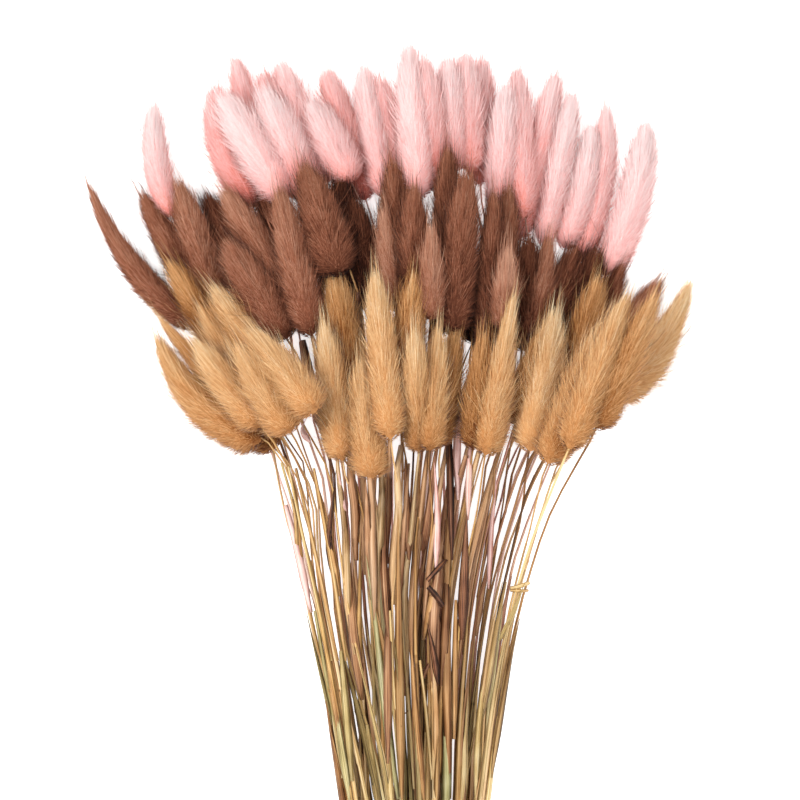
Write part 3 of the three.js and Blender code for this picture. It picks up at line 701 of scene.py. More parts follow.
def reach_out(shape, rng, kind, t, angle, lock, to_lock):
    """The root, middle and tip of each hair: a share of the plume's length, an angle and a reach."""
    radius, length, root = shape["radius"] * shape["puff"], length_of(shape), kind["root"]
    past = kind["past"] * shape["wispy"] * USUAL_LENGTH / length
    lock_out = rng.normal(0, LOCK_OUT, LOCKS)[lock]
    laid = smooth(t, LAID_FROM, LAID_TO)
    grown = SHORTEST + LONGER * smooth(t, GROWS_FROM, GROWS_TO)
    reach = rng.uniform(*kind["lengths"], len(t)) * grown / length
    tip_t = t + reach * (laid * LAID - (1 - laid) * STANDING)
    tip_angle = angle + to_lock * kind["lock_pull"] + rng.normal(0, LOCK_TURN, len(t))
    least, most = kind["out"]
    tip_out = least + (most - least) * rng.random(len(t)) ** OUT_POWER + lock_out
    skin_at = body(tip_t / (1 + past), shape)
    over = tip_t > 1 + past
    tip_t[over] = 1 + past * (TUFT_FROM + rng.random(over.sum()))
    skin_at[over] = rng.random(over.sum()) * shape["brush"] * kind["spread"]
    mid_t, mid_angle = t + (tip_t - t) * MIDDLE, angle + (tip_angle - angle) * MIDDLE_TURN
    middle = body(mid_t / (1 + past / 2), shape) * (root + (tip_out - root) * MIDDLE_OUT)
    return {
        0.0: (t, angle, body(t, shape) * radius * root),
        0.5: (mid_t, mid_angle, middle * radius),
        1.0: (tip_t, tip_angle, skin_at * radius * tip_out),
    }


def across_hairs(rng, placed):
    """The direction across each hair, rolled at random so that its face looks outwards."""
    direction = unit(placed[1.0][0] - placed[0.0][0])
    away = placed[0.5][1]
    side = unit(np.cross(direction, away))
    facing = np.where(side[:, 2] * (away[:, 2] + ROLL_LEVEL) < 0, -1, 1)
    roll = (rng.uniform(ROLL_FROM, ROLL_TO, len(side)) * facing)[:, None]
    return side * np.cos(roll) + np.cross(direction, side) * np.sin(roll)


def shades_of(shape, rng, kind, t, angle, lock, away):
    """A shade for each hair: its own, its lock's and its plume's, with painted shade where it faces sideways
    and down and where it is crowded.
    """
    uneven = rng.normal(0, HAIR_UNEVEN, len(t)) + rng.normal(0, LOCK_UNEVEN, LOCKS)[lock]
    own = uneven * shape["uneven"] + shape["tint"] + kind["paler"] * shape["pale"]
    # Hairs that face up are painted lighter, and those that face sideways and down darker: painted light and
    # shade.
    own = own + FACING_PAINTED_SHADE * (away[:, 2] - FACING_PAINTED_LEVEL)
    near_t = t + rng.normal(0, CROWD_BLUR, len(t))
    near_angle = angle + rng.normal(0, CROWD_TURN_BLUR, len(t))
    return own - shape["crowd_painted_shade"] * crowd_at(shape, near_t, near_angle)


def hairs_of(shape, rng, kind):
    """Copies of a hair all over a plume: points, faces, shades and normals."""
    hair, number = kind["hair"], kind["number"]
    t = shares_over(rng, number, shape, kind["first"])
    angle = rng.random(number) * FULL_TURN
    lock, to_lock = locks_of(shape, rng, t, angle)
    stations = reach_out(shape, rng, kind, t, angle, lock, to_lock)
    placed = {key: on_plume(shape, *station) for key, station in stations.items()}
    side = across_hairs(rng, placed)
    shaken = rng.normal(0, HAIR_SHAKE, (number, 3)) + rng.normal(0, LOCK_SHAKE, (LOCKS, 3))[lock]
    own = shades_of(shape, rng, kind, t, angle, lock, placed[0.5][1])
    corners = len(hair["points"])
    points = np.zeros((number, corners, 3))
    normals = np.zeros_like(points)
    shades = np.zeros((number, corners))
    for index, (x, y, _) in enumerate(hair["points"]):
        station = round(float(y) * 2) / 2
        points[:, index] = placed[station][0] + side * x * kind["width"]
        normals[:, index] = unit(placed[station][1] + shaken + UP * TIP_GLOW * station)
        faded = shape["fade"] * (stations[station][0] - 0.5)
        # Each hair is painted darker towards its root, as shade deep in the fur.
        shades[:, index] = shape["base_shade"] + own + faded + ROOT_PAINTED_SHADE * (station - ROOT_PAINTED_LEVEL)
    points[:, :, 2] = np.maximum(points[:, :, 2], LOWEST_HAIR)
    faces = hair["faces"][None] + (np.arange(number) * corners)[:, None, None]
    return points.reshape(-1, 3), faces.reshape(-1, 3), shades.ravel(), normals.reshape(-1, 3)


print(LOCKS, "locks gather the hairs of each kind on each plume")

# %% The core of one plume
CORE_REACH, CORE_FROM, CORE_LENGTH, CORE_PAINTED_SHADE = 0.8, 0.01, 0.97, 0.16


def core_of(shape):
    """The dense body under the hairs, a little smaller than they are and painted darker, as shade under the
    fur.
    """
    half_width = np.where(CORE_ENDS, 0, body(CORE_SHARES, shape)) * shape["radius"] * shape["puff"]
    t = CORE_FROM + CORE_SHARES * CORE_LENGTH
    points, normals = on_plume(shape, t, CORE_ANGLES, half_width * CORE_REACH)
    shades = shape["base_shade"] - CORE_PAINTED_SHADE + shape["tint"] + shape["fade"] * (CORE_SHARES - 0.5)
    shades = shades - shape["crowd_painted_shade"] * crowd_at(shape, CORE_SHARES, CORE_ANGLES)
    return points, CORE_FACES, shades, normals


print("a core's half width is", CORE_REACH, "of its plume's")

# %% [markdown]
# Each hair is painted darker at its root than at its end, as shade deep in the fur, and each plume is a
# little darker at its base than at its tip. One ramp a colour holds its shades, from the deep ones between
# the hairs to the palest ends, and a fine noise makes them uneven.

# %% Fur materials
FUR_SHADES = {
    "pink": ["#bf6456", "#e68c7e", "#f8b0a8", "#fdc9c5", "#ffdcd9", "#ffeae8"],
    "brown": ["#180703", "#3a190d", "#70402c", "#9c5f46", "#b97d61", "#d4a185"],
    "tan": ["#5c2f13", "#965b2b", "#c68a53", "#e0a970", "#efc690", "#f9e1b8"],
}
SHEEN = {"pink": 0.2, "brown": 0.06, "tan": 0.2}
FUR_NOISE, FUR_NOISE_SIZE = 0.2, 900


def node_of(material, kind, inputs=None, **settings):
    """A new shader node of a kind, with some of its settings and inputs filled in."""
    node = material.node_tree.nodes.new(kind)
    for key, value in settings.items():
        setattr(node, key, value)
    for key, value in (inputs or {}).items():
        node.inputs[key].default_value = value
    return node


def value_of(material, key):
    return node_of(material, "ShaderNodeAttribute", attribute_name=key).outputs["Fac"]


def uneven_shade(material, noise, strength):
    """The shade of each point, raised and lowered by a noise."""
    link = material.node_tree.links.new
    centred = node_of(material, "ShaderNodeMath", {1: 0.5}, operation="SUBTRACT")
    blend = node_of(material, "ShaderNodeMath", {1: strength}, operation="MULTIPLY_ADD")
    link(noise.outputs["Fac"], centred.inputs[0])
    link(centred.outputs[0], blend.inputs[0])
    link(value_of(material, "shade"), blend.inputs[2])
    return blend.outputs[0]


def ramp_of(material, factor, shades):
    """A colour from the ramp of shades, from the darkest at 0 to the palest at 1."""
    ramp = node_of(material, "ShaderNodeValToRGB")
    elements = ramp.color_ramp.elements
    while len(elements) < len(shades):
        elements.new(0.5)
    for index, code in enumerate(shades):
        elements[index].position = index / (len(shades) - 1)
        elements[index].color = linear(code)
    material.node_tree.links.new(factor, ramp.inputs["Fac"])
    return ramp.outputs["Color"]


def fur_material(name, shades, sheen):
    looks = {"Specular IOR Level": 0.1, "Sheen Weight": sheen, "Sheen Roughness": 0.5}
    material, shader = new_material(name, 0.8, looks)
    link = material.node_tree.links.new
    place = node_of(material, "ShaderNodeTexCoord")
    noise = node_of(material, "ShaderNodeTexNoise", {"Scale": FUR_NOISE_SIZE, "Detail": 2})
    link(place.outputs["Object"], noise.inputs["Vector"])
    colour = ramp_of(material, uneven_shade(material, noise, FUR_NOISE), shades)
    link(colour, shader.inputs["Base Color"])
    return material


fur_materials = {key: fur_material(f"{key}_fur", FUR_SHADES[key], SHEEN[key]) for key in PLUMES}
print("fur materials:", [material.name for material in fur_materials.values()])

# %% [markdown]
# Each colour has its own looks: how dark it is, how much that changes from hair to hair and from the base to
# the tip, how much painted shade a crowd of neighbours puts on it, and how blunt or feathery its plumes are.
# The darkest plumes lie behind the others, and their fur is fuller, so that it fills the gaps; their darkness
# is partly painted shade.
#
# Loose fur isn't quite where the solids are. The fur of plumes that are pressed together is moved back
# towards where the photograph shows it, and some plumes lean to one side, are wider or reach further below
# their base, by some pixels each.

# %% The plumes' looks
LOOKS = {
    "pink": {
        "base_shade": 0.61, "tint": 0.2, "fade": 0.32, "uneven": 0.6, "crowd_painted_shade": 0.21, "pale": 0.4,
        "base_round": 0.22, "tip_round": 4.8, "taper": 0.13, "brush": 0.45, "wispy": 0.85,
    },
    "brown": {
        "base_shade": 0.55, "tint": 0.29, "fade": 0.14, "uneven": 0.95, "crowd_painted_shade": 0.22, "pale": 0.2,
        "base_round": 0.2, "tip_round": 4.0, "taper": 0.18, "brush": 0.36, "wispy": 1.0,
    },
    "tan": {
        "base_shade": 0.5, "tint": 0.22, "fade": 0.06, "uneven": 0.85, "crowd_painted_shade": 0.24, "pale": 1.2,
        "base_round": 0.17, "tip_round": 3.6, "taper": 0.2, "brush": 0.22, "wispy": 1.0,
    },
}
PUFF, PUFF_BEHIND = 1.1, {"pink": 1.2, "brown": 1.42, "tan": 1.34}
BEHIND_FROM, BEHIND_TO = 0.3, 0.7
SPREAD_BACK = 0.7
LEANING = {
    ("pink_head_01", 0): {"tone": -0.1, "longer": 12},
    ("pink_head_02", 0): {"tone": 0.1, "longer": 20},
    ("pink_head_06", 1): {"tone": 0.3, "longer": 10},
    ("pink_head_10", 0): {"tone": -0.3, "longer": 14},
    ("pink_head_11", 0): {"tone": 0.0, "longer": 14},
    ("pink_head_12", 0): {"tone": 0.4, "wider": 0.86, "lift": 5.0},
    ("pink_head_13", 0): {"tone": 0.7, "by": (13, 2), "wider": 1.22},
    ("pink_head_14", 0): {"tone": 0.2, "by": (2, 4), "wider": 1.1},
    ("brown_head_02", 0): {"tone": -0.9, "by": (3, -4), "wider": 1.3},
    ("brown_head_03", 0): {"tone": -1.0, "by": (4, 4), "wider": 1.05},
    ("brown_head_04", 0): {"tone": -0.9, "by": (0, 2), "wider": 1.2},
    ("brown_head_05", 0): {"tone": -0.9, "by": (-5, -3), "wider": 1.3},
    ("brown_head_05", 1): {"tone": -1.0, "by": (-2, 20), "wider": 1.15},
    ("brown_head_10", 0): {"tone": 0.0, "by": (-11, 7), "wider": 1.14},
    ("brown_head_15", 1): {"tone": 0.8, "lift": 2.0},
    ("brown_head_16", 0): {"tone": -0.2, "by": (-2, 8), "wider": 1.1},
    ("brown_head_16", 1): {"tone": 0.75, "by": (2, 2), "wider": 1.1, "lift": 4.0},
    ("brown_head_18", 0): {"tone": 0.2, "by": (2, 2), "wider": 1.3},
    ("brown_head_20", 0): {"tone": -0.1, "by": (-4, -3), "wider": 1.25},
    ("tan_head_03", 0): {"tone": -1.0, "by": (-4, 2), "wider": 0.95, "lift": -3.0},
    ("tan_head_11", 0): {"tone": 0.7, "wider": 1.06, "slim": 1},
    ("tan_head_13", 0): {"tone": 0.2, "by": (3, -2), "wider": 1.2},
    ("tan_head_14", 1): {"tone": -0.1, "by": (5, 8), "wider": 0.92, "slim": 0.6},
    ("tan_head_16", 0): {"tone": 0.3},
}


def spread_back(shape, entry):
    """Moves the fur of a pressed plume most of the way back to where the photograph has it."""
    seen = measured(entry)
    for end in ("from", "to"):
        shape[end] = shape[end] + (seen[end] - shape[end]) * SPREAD_BACK


def lean(shape, tone, by=(0, 0), wider=1.0, lift=0.0, longer=0.0, slim=None):
    """Lets loose fur hang to one side or below its base, by some pixels, and lie higher."""
    shift = np.array([by[0] * PIXEL, -by[1] * PIXEL, 0])
    below = unit(shape["from"] - shape["to"]) * longer * PIXEL
    shape.update({"from": shape["from"] + shift + below, "to": shape["to"] + shift})
    shape.update({"radius": shape["radius"] * wider, "tone": tone, "foot": shape["foot"] + lift * MM})
    if slim is not None:
        shape["slim"] = slim


def dress(shape, colour):
    """How full a plume's fur is, and its shades. The dark ones, partly painted shade, lie behind the others
    and fill the gaps.
    """
    behind = smooth(-shape["tone"], BEHIND_FROM, BEHIND_TO)
    shape.update(LOOKS[colour])
    shape["puff"] = PUFF + (PUFF_BEHIND[colour] - PUFF) * float(behind)
    shape["tint"] = LOOKS[colour]["tint"] * shape["tone"]


dressed = {}
for node, pair in shapes.items():
    colour, _, number = node.split("_")
    dressed[node] = [dict(shape) for shape in pair]
    for place, shape in enumerate(dressed[node]):
        spread_back(shape, PLUMES[colour][int(number) - 1][place])
        if (node, place) in LEANING:
            lean(shape, **LEANING[node, place])
        dress(shape, colour)
every_plume = [shape for pair in dressed.values() for shape in pair]
for shape in every_plume:
    shape["crowd"] = crowding(shape, every_plume)
print("crowding of the plumes:", round(float(np.mean([shape["crowd"].mean() for shape in every_plume])), 2))

# %% The plumes' fur
FUR_SEED = 1000


def fur_piece(node, seed, material):
    """The core and every kind of hair of a solid's one or two plumes, as one piece."""
    rng = np.random.default_rng(seed)
    sets = []
    for shape in dressed[node]:
        sets.append(core_of(shape))
        for kind in COAT:
            sets.append(hairs_of(shape, rng, kind))
    starts = np.cumsum([0] + [len(points) for points, *_ in sets])
    return mesh_piece(
        f"{node}_fur",
        np.concatenate([points for points, *_ in sets]),
        [faces + start for (_, faces, _, _), start in zip(sets, starts)],
        material,
        {"shade": np.concatenate([shades for _, _, shades, _ in sets])},
        np.concatenate([normals for *_, normals in sets]),
    )


for colour_index, (colour, groups) in enumerate(PLUMES.items()):
    triangles = 0
    for number in range(1, len(groups) + 1):
        node = f"{colour}_head_{number:02d}"
        fur = fur_piece(node, FUR_SEED * colour_index + number, fur_materials[colour])
        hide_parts(node)
        triangles += len(fur.data.polygons)
    print(colour, "fur:", len(groups), "pieces,", triangles, "triangles")

# %% [markdown]
# ## Stems
#
# Each stem is a smooth tube on its way from the cut end, through the tie and up into its plume. Three
# joints divide it: the straw is a little thicker there and changes its direction, and above each one a dry
# leaf sheath wraps it for a few centimetres and ends with a step. The cut ends are hollow.

# %% Ways and skins
CURVE_STEPS = 24


def distances_on(places):
    """The distance along a way at each of its places."""
    return np.concatenate([[0], np.cumsum(np.linalg.norm(np.diff(places, axis=0), axis=1))])


def curve_through(points):
    """A smooth curve through the points, as many small steps, and the distance along it at each."""
    points = np.asarray(points, float)
    lengths = np.linalg.norm(np.diff(points, axis=0), axis=1)
    slopes = np.gradient(points, distances_on(points), axis=0)
    dense = []
    for index, length in enumerate(lengths):
        u = np.linspace(0, 1, CURVE_STEPS, endpoint=False)[:, None]
        start, end = points[index], points[index + 1]
        part = start * (2 * u**3 - 3 * u**2 + 1) + end * (3 * u**2 - 2 * u**3)
        part += (slopes[index] * (u**3 - 2 * u**2 + u) + slopes[index + 1] * (u**3 - u**2)) * length
        dense.append(part)
    dense.append(points[-1:])
    dense = np.concatenate(dense)
    return dense, distances_on(dense)


def place_on(dense, along, distances):
    return np.stack([np.interp(distances, along, dense[:, axis]) for axis in range(3)], axis=-1)


def tube_faces(rings, sides):
    """Quads between rings of points, and a face on each end."""
    index = np.arange(rings * sides).reshape(rings, sides)
    after = np.roll(index, -1, axis=1)
    quads = np.stack([index[:-1], index[1:], after[1:], after[:-1]], axis=-1).reshape(-1, 4)
    return quads, np.stack([index[0], index[-1][::-1]])


def skin(places, tangents, sections):
    """A closed skin with a ring of points round each place, upright as far as its way allows."""
    side = unit(np.cross(tangents, UP))
    up = np.cross(side, tangents)
    points = places[:, None] + side[:, None] * sections[..., :1] + up[:, None] * sections[..., 1:]
    return points.reshape(-1, 3), *tube_faces(*sections.shape[:2])


def ring_angles(sides):
    return np.arange(sides) / sides * FULL_TURN


def round_section(radii, sides, turn):
    angles = ring_angles(sides) + turn
    return np.stack([np.cos(angles), np.sin(angles)], axis=-1)[None] * np.asarray(radii)[:, None, None]


class Skins:
    """Collects many skins to be one piece, with some numbers for each point."""

    def __init__(self, keys):
        self.points, self.quads, self.ends, self.size = [], [], [], 0
        self.values = {key: [] for key in keys}

    def add(self, points, quads, ends, **values):
        self.points.append(points)
        self.quads.append(quads + self.size)
        self.ends.append(ends + self.size)
        self.size += len(points)
        for key, numbers in values.items():
            self.values[key].append(np.broadcast_to(numbers, len(points)))

    def piece(self, name, material):
        by_sides = {}
        for ends in self.ends:
            by_sides.setdefault(ends.shape[1], []).append(ends)
        face_sets = [np.concatenate(self.quads)] + [np.concatenate(ends) for ends in by_sides.values()]
        values = {key: np.concatenate(numbers) for key, numbers in self.values.items()}
        return mesh_piece(name, np.concatenate(self.points), face_sets, material, values)


print("a way has", CURVE_STEPS, "small steps between two of its bends")

# %% [markdown]
# The photograph shows how wide the bundle of stems is at some rows of pixels. The stems are moved sideways
# until they fill that width evenly, but not in the tie and just under their plumes.

# %% Real stems' ways
LOOSE_NECK, LOOSE_PULL = 0.1, 0.08
SINK = 2.6 * MM
LOWEST_STEM = 1.4 * MM
INTO_FUR = 0.1
DEEP_NECKS = {("tan_head_18", 0): 5 * MM, ("tan_head_18", 1): 8 * MM}
EVENNESS, WAY_UNEVEN = 0.8, 2.0
LATE_OUTWARD, LATE_FROM, LATE_TO = 34, 380, 420
OUTER_FROM, OUTER_TO = 0.5, 0.85
BELOW_TOP, MOVED_FROM, MOVED_FULLY = 25, 10, 100
HELD_FROM, HELD_FULLY = 930, 1010
ROWS = np.array([430, 465, 500, 550, 600, 650, 700, 750, 800, 860, 920])
LEFT_EDGE = np.array([268, 277, 287, 295, 303, 314, 327, 335, 344, 354, 364])
RIGHT_EDGE = np.array([588, 566, 552, 532, 517, 506, 498, 492, 488, 479, 469])


def to_pixel(places):
    x = (places[:, 0] - origin[0]) / PIXEL + MIDDLE_PIXEL[0]
    return x, MIDDLE_PIXEL[1] - (places[:, 1] - origin[1]) / PIXEL


def real_way(shape):
    """The stem's smooth way: it turns to the tie a little sooner than the frame's and sinks into the fur."""
    way = stem_way(shape, LOOSE_NECK, LOOSE_PULL)
    way[:, 2] = shape["way"][:, 2]
    way[4, 2] = way[4:, 2].mean()
    way[3:5, 2] -= SINK + shape["deep"]
    dense, _ = curve_through([*way, axis_at(shape, INTO_FUR)])
    dense[:, 2] = np.maximum(dense[:, 2], LOWEST_STEM)
    return dense


def even_out(ways, rng):
    """Moves the stems sideways so that they fill the bundle as in the photograph, and keep their order."""
    pixels = [to_pixel(way) for way in ways]
    tops = np.array([y[-1] for _, y in pixels])
    across = np.array([np.interp(ROWS, y[::-1], x[::-1]) for x, y in pixels])
    shifts = np.zeros_like(across)
    for column, row in enumerate(ROWS):
        here = np.flatnonzero(tops < row - BELOW_TOP)
        left, right = LEFT_EDGE[column], RIGHT_EDGE[column]
        aside = (across[here, column] - (left + right) / 2) / (right - left) * 2
        outer = smooth(np.abs(aside), OUTER_FROM, OUTER_TO)
        outward = np.sign(aside) * outer * smooth(tops[here], LATE_FROM, LATE_TO) * LATE_OUTWARD
        ranked = here[np.argsort(across[here, column] + outward)]
        even = left + (right - left) * (np.arange(len(ranked)) + 0.5) / len(ranked)
        shifts[ranked, column] = (even - across[ranked, column]) * EVENNESS
    for way, (_, y), top, shift in zip(ways, pixels, tops, shifts):
        weight = smooth(y, top + MOVED_FROM, top + MOVED_FULLY) * (1 - smooth(y, HELD_FROM, HELD_FULLY))
        way[:, 0] += (np.interp(y, ROWS, shift) + rng.normal(0, WAY_UNEVEN)) * weight * PIXEL


print("the bundle's width in pixels, from its top:", (RIGHT_EDGE - LEFT_EDGE).tolist())

# %% All the ways
WAYS_SEED = 11
stem_ways = {}
for node, pair in shapes.items():
    for place, shape in enumerate(pair):
        shape["deep"] = DEEP_NECKS.get((node, place), 0)
        stem_ways.setdefault(node.split("_")[0], []).append(real_way(shape))
even_out([way for ways in stem_ways.values() for way in ways], np.random.default_rng(WAYS_SEED))
every_stem = np.concatenate([way for ways in stem_ways.values() for way in ways])
print("stems:", {colour: len(ways) for colour, ways in stem_ways.items()})

# %% Stems
SIDES = 7
RINGS = 26
JOINT_SHARES = (0.2, 0.42, 0.68)
JOINT_SHIFT, JOINT_BELOW, JOINT_ABOVE = 0.09, 0.9 * MM, 1.1 * MM
JOINT_SWELL, JOINT_DARKER = 0.1, 0.15
SHEATH_LENGTHS, SHEATH_STEP, SHEATH_OVER = (20 * MM, 66 * MM), 0.5 * MM, 0.1 * MM
SHEATH_WIDER, SHEATH_UNEVEN = (1.0, 1.35), 0.16
FIRST_BEND, SWAY, SWAY_UP, LOOK_AHEAD = 1.3, 0.9 * MM, 0.4 * MM, 2 * MM
LOWER_HALF, UPPER_HALF, THICKNESS = 0.85 * MM, 0.42 * MM, (0.75, 1.1)
THINS_FROM, THINS_TO = 0.1, 0.85
HOLLOW_DEPTHS, HOLLOW_WIDTHS = np.array([[2 * MM], [0.0]]), np.array([0.45, 0.55])
HOLLOW_PAINTED_SHADES = [0.02, 0.3]
# The lower parts of the stems are painted darker in the lower rows of the bundle and lighter in its top rows:
# painted shade from the stems that lie over them.
STEM_ROW_PAINTED_SHADES = {"pink": (0.34, 0.62), "brown": (0.48, 0.52), "tan": (0.7, 0.46)}
SHADE_FROM, SHADE_TO, PALEST = 0.35, 0.75, 0.66
STEM_UNEVEN, STEM_DARKEST, STEM_PALEST, RING_UNEVEN = 0.23, -0.4, 0.3, 0.03
STEM_PAINTED_LIGHT_AND_SHADE, STEM_PAINTED_LEVEL = 0.24, 0.28
STEM_DYE = {"pink": (0.6, 1.0), "brown": (0.5, 1.0), "tan": (0, 0.5)}
DYE_STARTS, DYE_LENGTH, LEAST_DYE, MORE_DYE = (0.1, 0.4), 0.35, 0.15, 0.85
OLIVE_POWER, OLIVE_FROM, OLIVE_TO = 0.9, 0.25, 0.8
ANY_TURN, ANY_PLACE = 6, 5
LOWEST_STRAW = 0.05 * MM
STRAW_KEYS = ("shade", "olive", "dye", "along", "round_x", "round_y")


def bent_at_joints(dense, along, distances, joints, rng):
    """Places on a stem that changes its direction a little at each joint, and the directions along it."""
    total = along[-1]
    knots = np.concatenate([[0, TIE_TO_CUT], np.maximum(joints, TIE_TO_CUT * FIRST_BEND), [total]])
    order = np.argsort(knots)
    aside = np.concatenate([[0, 0], rng.normal(0, SWAY, 3), [0]])[order]
    higher = np.concatenate([[0, 0], rng.normal(0, SWAY_UP, 3), [0]])[order]
    places = place_on(dense, along, distances)
    ahead = place_on(dense, along, np.minimum(distances + LOOK_AHEAD, total))
    behind = place_on(dense, along, np.maximum(distances - LOOK_AHEAD, 0))
    tangents = unit(ahead - behind)
    across = unit(np.cross(tangents, UP))
    places = places + across * np.interp(distances, knots[order], aside)[:, None]
    places = places + UP * np.interp(distances, knots[order], higher)[:, None]
    return places, tangents


def wrap_sheaths(distances, joints, sheaths, radii, shade, rng):
    """Makes a stem thicker and darker at each joint, and wider above it, as far as its sheath reaches."""
    for joint, sheath in zip(joints, sheaths):
        near = np.exp(-(((distances - joint) / JOINT_BELOW) ** 2))
        wrapped = (distances >= joint) & (distances <= joint + sheath + SHEATH_OVER)
        radii = radii * (1 + JOINT_SWELL * near) * np.where(wrapped, rng.uniform(*SHEATH_WIDER), 1.0)
        shade = shade - JOINT_DARKER * near + np.where(wrapped, rng.uniform(-SHEATH_UNEVEN, SHEATH_UNEVEN), 0)
    return radii, shade


def stem_skin(skins, dense, rng, colour):
    """Adds one stem. Gives back its way and the distances along it where its sheaths end."""
    along = distances_on(dense)
    total = along[-1]
    joints = (np.array(JOINT_SHARES) + rng.uniform(-JOINT_SHIFT, JOINT_SHIFT, 3)) * total
    sheaths = rng.uniform(*SHEATH_LENGTHS, 3)
    sheath_ends = joints + sheaths
    steps = [joints - JOINT_BELOW, joints, joints + JOINT_ABOVE, sheath_ends, sheath_ends + SHEATH_STEP]
    distances = np.sort(np.concatenate([np.linspace(0, total, RINGS), *steps]))
    places, tangents = bent_at_joints(dense, along, distances, joints, rng)
    share = np.clip((distances - TIE_TO_CUT) / (total - TIE_TO_CUT), 0, 1)
    radii = LOWER_HALF + (UPPER_HALF - LOWER_HALF) * smooth(share, THINS_FROM, THINS_TO)
    radii = radii * rng.uniform(*THICKNESS)
    low_shade, high_shade = STEM_ROW_PAINTED_SHADES[colour]
    shade = low_shade + (high_shade - low_shade) * smooth(distances / total, SHADE_FROM, SHADE_TO)
    shade = np.minimum(shade + np.clip(rng.normal(0, STEM_UNEVEN), STEM_DARKEST, STEM_PALEST), PALEST)
    shade = shade + rng.normal(0, RING_UNEVEN, len(distances))
    radii, shade = wrap_sheaths(distances, joints, sheaths, radii, shade, rng)
    # Two more rings at the cut end go into the stem and make it hollow; they are painted dark, as shade
    # inside it.
    places = np.concatenate([places[0] + tangents[0] * HOLLOW_DEPTHS, places])
    tangents = np.concatenate([tangents[:1], tangents[:1], tangents])
    radii = np.concatenate([radii[0] * HOLLOW_WIDTHS, radii])
    shade = np.concatenate([HOLLOW_PAINTED_SHADES, shade])
    share = np.concatenate([[0, 0], share])
    distances = np.concatenate([[0, 0], distances])
    rings = len(distances)
    turn = rng.random() * ANY_TURN
    sections = round_section(radii, SIDES, turn)
    sections[..., 1] *= STEM_HEIGHT / STEM_WIDTH
    angles = ring_angles(SIDES)
    dyed = {key: rng.uniform(*limits) for key, limits in STEM_DYE.items()}[colour]
    start = rng.uniform(*DYE_STARTS)
    points, quads, ends = skin(places, tangents, sections)
    points[:, 2] = np.maximum(points[:, 2], LOWEST_STRAW)
    # The top of each stem is painted lighter and its sides and underside darker: painted light and shade
    # round it.
    painted_light_round = STEM_PAINTED_LIGHT_AND_SHADE * (np.sin(angles + turn) - STEM_PAINTED_LEVEL)
    olive = rng.uniform(0, 1) ** OLIVE_POWER * (1 - smooth(share, OLIVE_FROM, OLIVE_TO))
    dye = dyed * (LEAST_DYE + MORE_DYE * smooth(share, start, start + DYE_LENGTH))
    skins.add(
        points, quads, ends,
        shade=np.repeat(shade, SIDES) + np.tile(painted_light_round, rings),
        olive=np.repeat(olive, SIDES),
        dye=np.repeat(dye, SIDES),
        along=np.repeat(distances + rng.random() * ANY_PLACE, SIDES),
        round_x=np.tile(np.cos(angles) * MM, rings),
        round_y=np.tile(np.sin(angles) * MM, rings),
    )
    return dense, along, sheath_ends


print("a stem has", len(JOINT_SHARES), "joints and", SIDES, "sides")

# %% Dry leaves
LEAF_STEPS = 12
LEAF_THICK, LEAF_LEAN, LEAF_UNEVEN = 0.12 * MM, 0.15, 0.05
WIDENS_FROM, WIDENS_TO, NARROWING, LEAST_WIDTH = -0.15, 0.3, 2.2, 0.04
LOWEST_LEAF = 0.1 * MM
# Each leaf's ridge is painted lighter, and its rims and underside darker: painted light and shade across it.
LEAF_RIM_PAINTED_SHADES = np.array([[-0.14, 0.07, -0.05, -0.1]])


def leaf_skin(
    skins, path, width, rng, twist=0.0, fold=0.25, shade=0.5, olive=0.0, dye=0.0, blunt=0.0, paler=0.0
):
    """A thin folded strip along a way, which narrows to its tip and may twist."""
    dense, along = curve_through(path)
    share = np.linspace(0, 1, LEAF_STEPS)
    places = place_on(dense, along, share * along[-1])
    tangents = unit(np.gradient(places, axis=0))
    widening = np.maximum(smooth(share, WIDENS_FROM, WIDENS_TO), blunt)
    half = width / 2 * (widening * (1 - share**NARROWING * (1 - blunt)) + LEAST_WIDTH)
    angle = twist * share + rng.normal(0, LEAF_LEAN)
    rim = np.stack([half, half * 0], axis=-1)
    ridge = np.stack([half * 0, fold * half], axis=-1)
    top = np.array([0, LEAF_THICK])
    section = np.stack([rim, ridge + top, -rim, ridge - top], axis=1)
    cos, sin = np.cos(angle)[:, None], np.sin(angle)[:, None]
    turned = np.empty_like(section)
    turned[..., 0] = section[..., 0] * cos - section[..., 1] * sin
    turned[..., 1] = section[..., 0] * sin + section[..., 1] * cos
    points, quads, ends = skin(places, tangents, turned)
    points[:, 2] = np.maximum(points[:, 2], LOWEST_LEAF)
    shades = shade + paler * share[:, None] + rng.normal(0, LEAF_UNEVEN, (LEAF_STEPS, 1)) + LEAF_RIM_PAINTED_SHADES
    skins.add(
        points, quads, ends,
        shade=shades.ravel(), olive=olive, dye=dye,
        along=np.repeat(share * along[-1] + rng.random() * ANY_PLACE, 4),
        round_x=np.tile(np.array([1.0, 0, -1, 0]) * width, LEAF_STEPS),
        round_y=np.tile(np.array([0, 0.5, 0, -0.5]) * MM, LEAF_STEPS),
    )


print("a dry leaf has", LEAF_STEPS, "steps from its root to its tip")

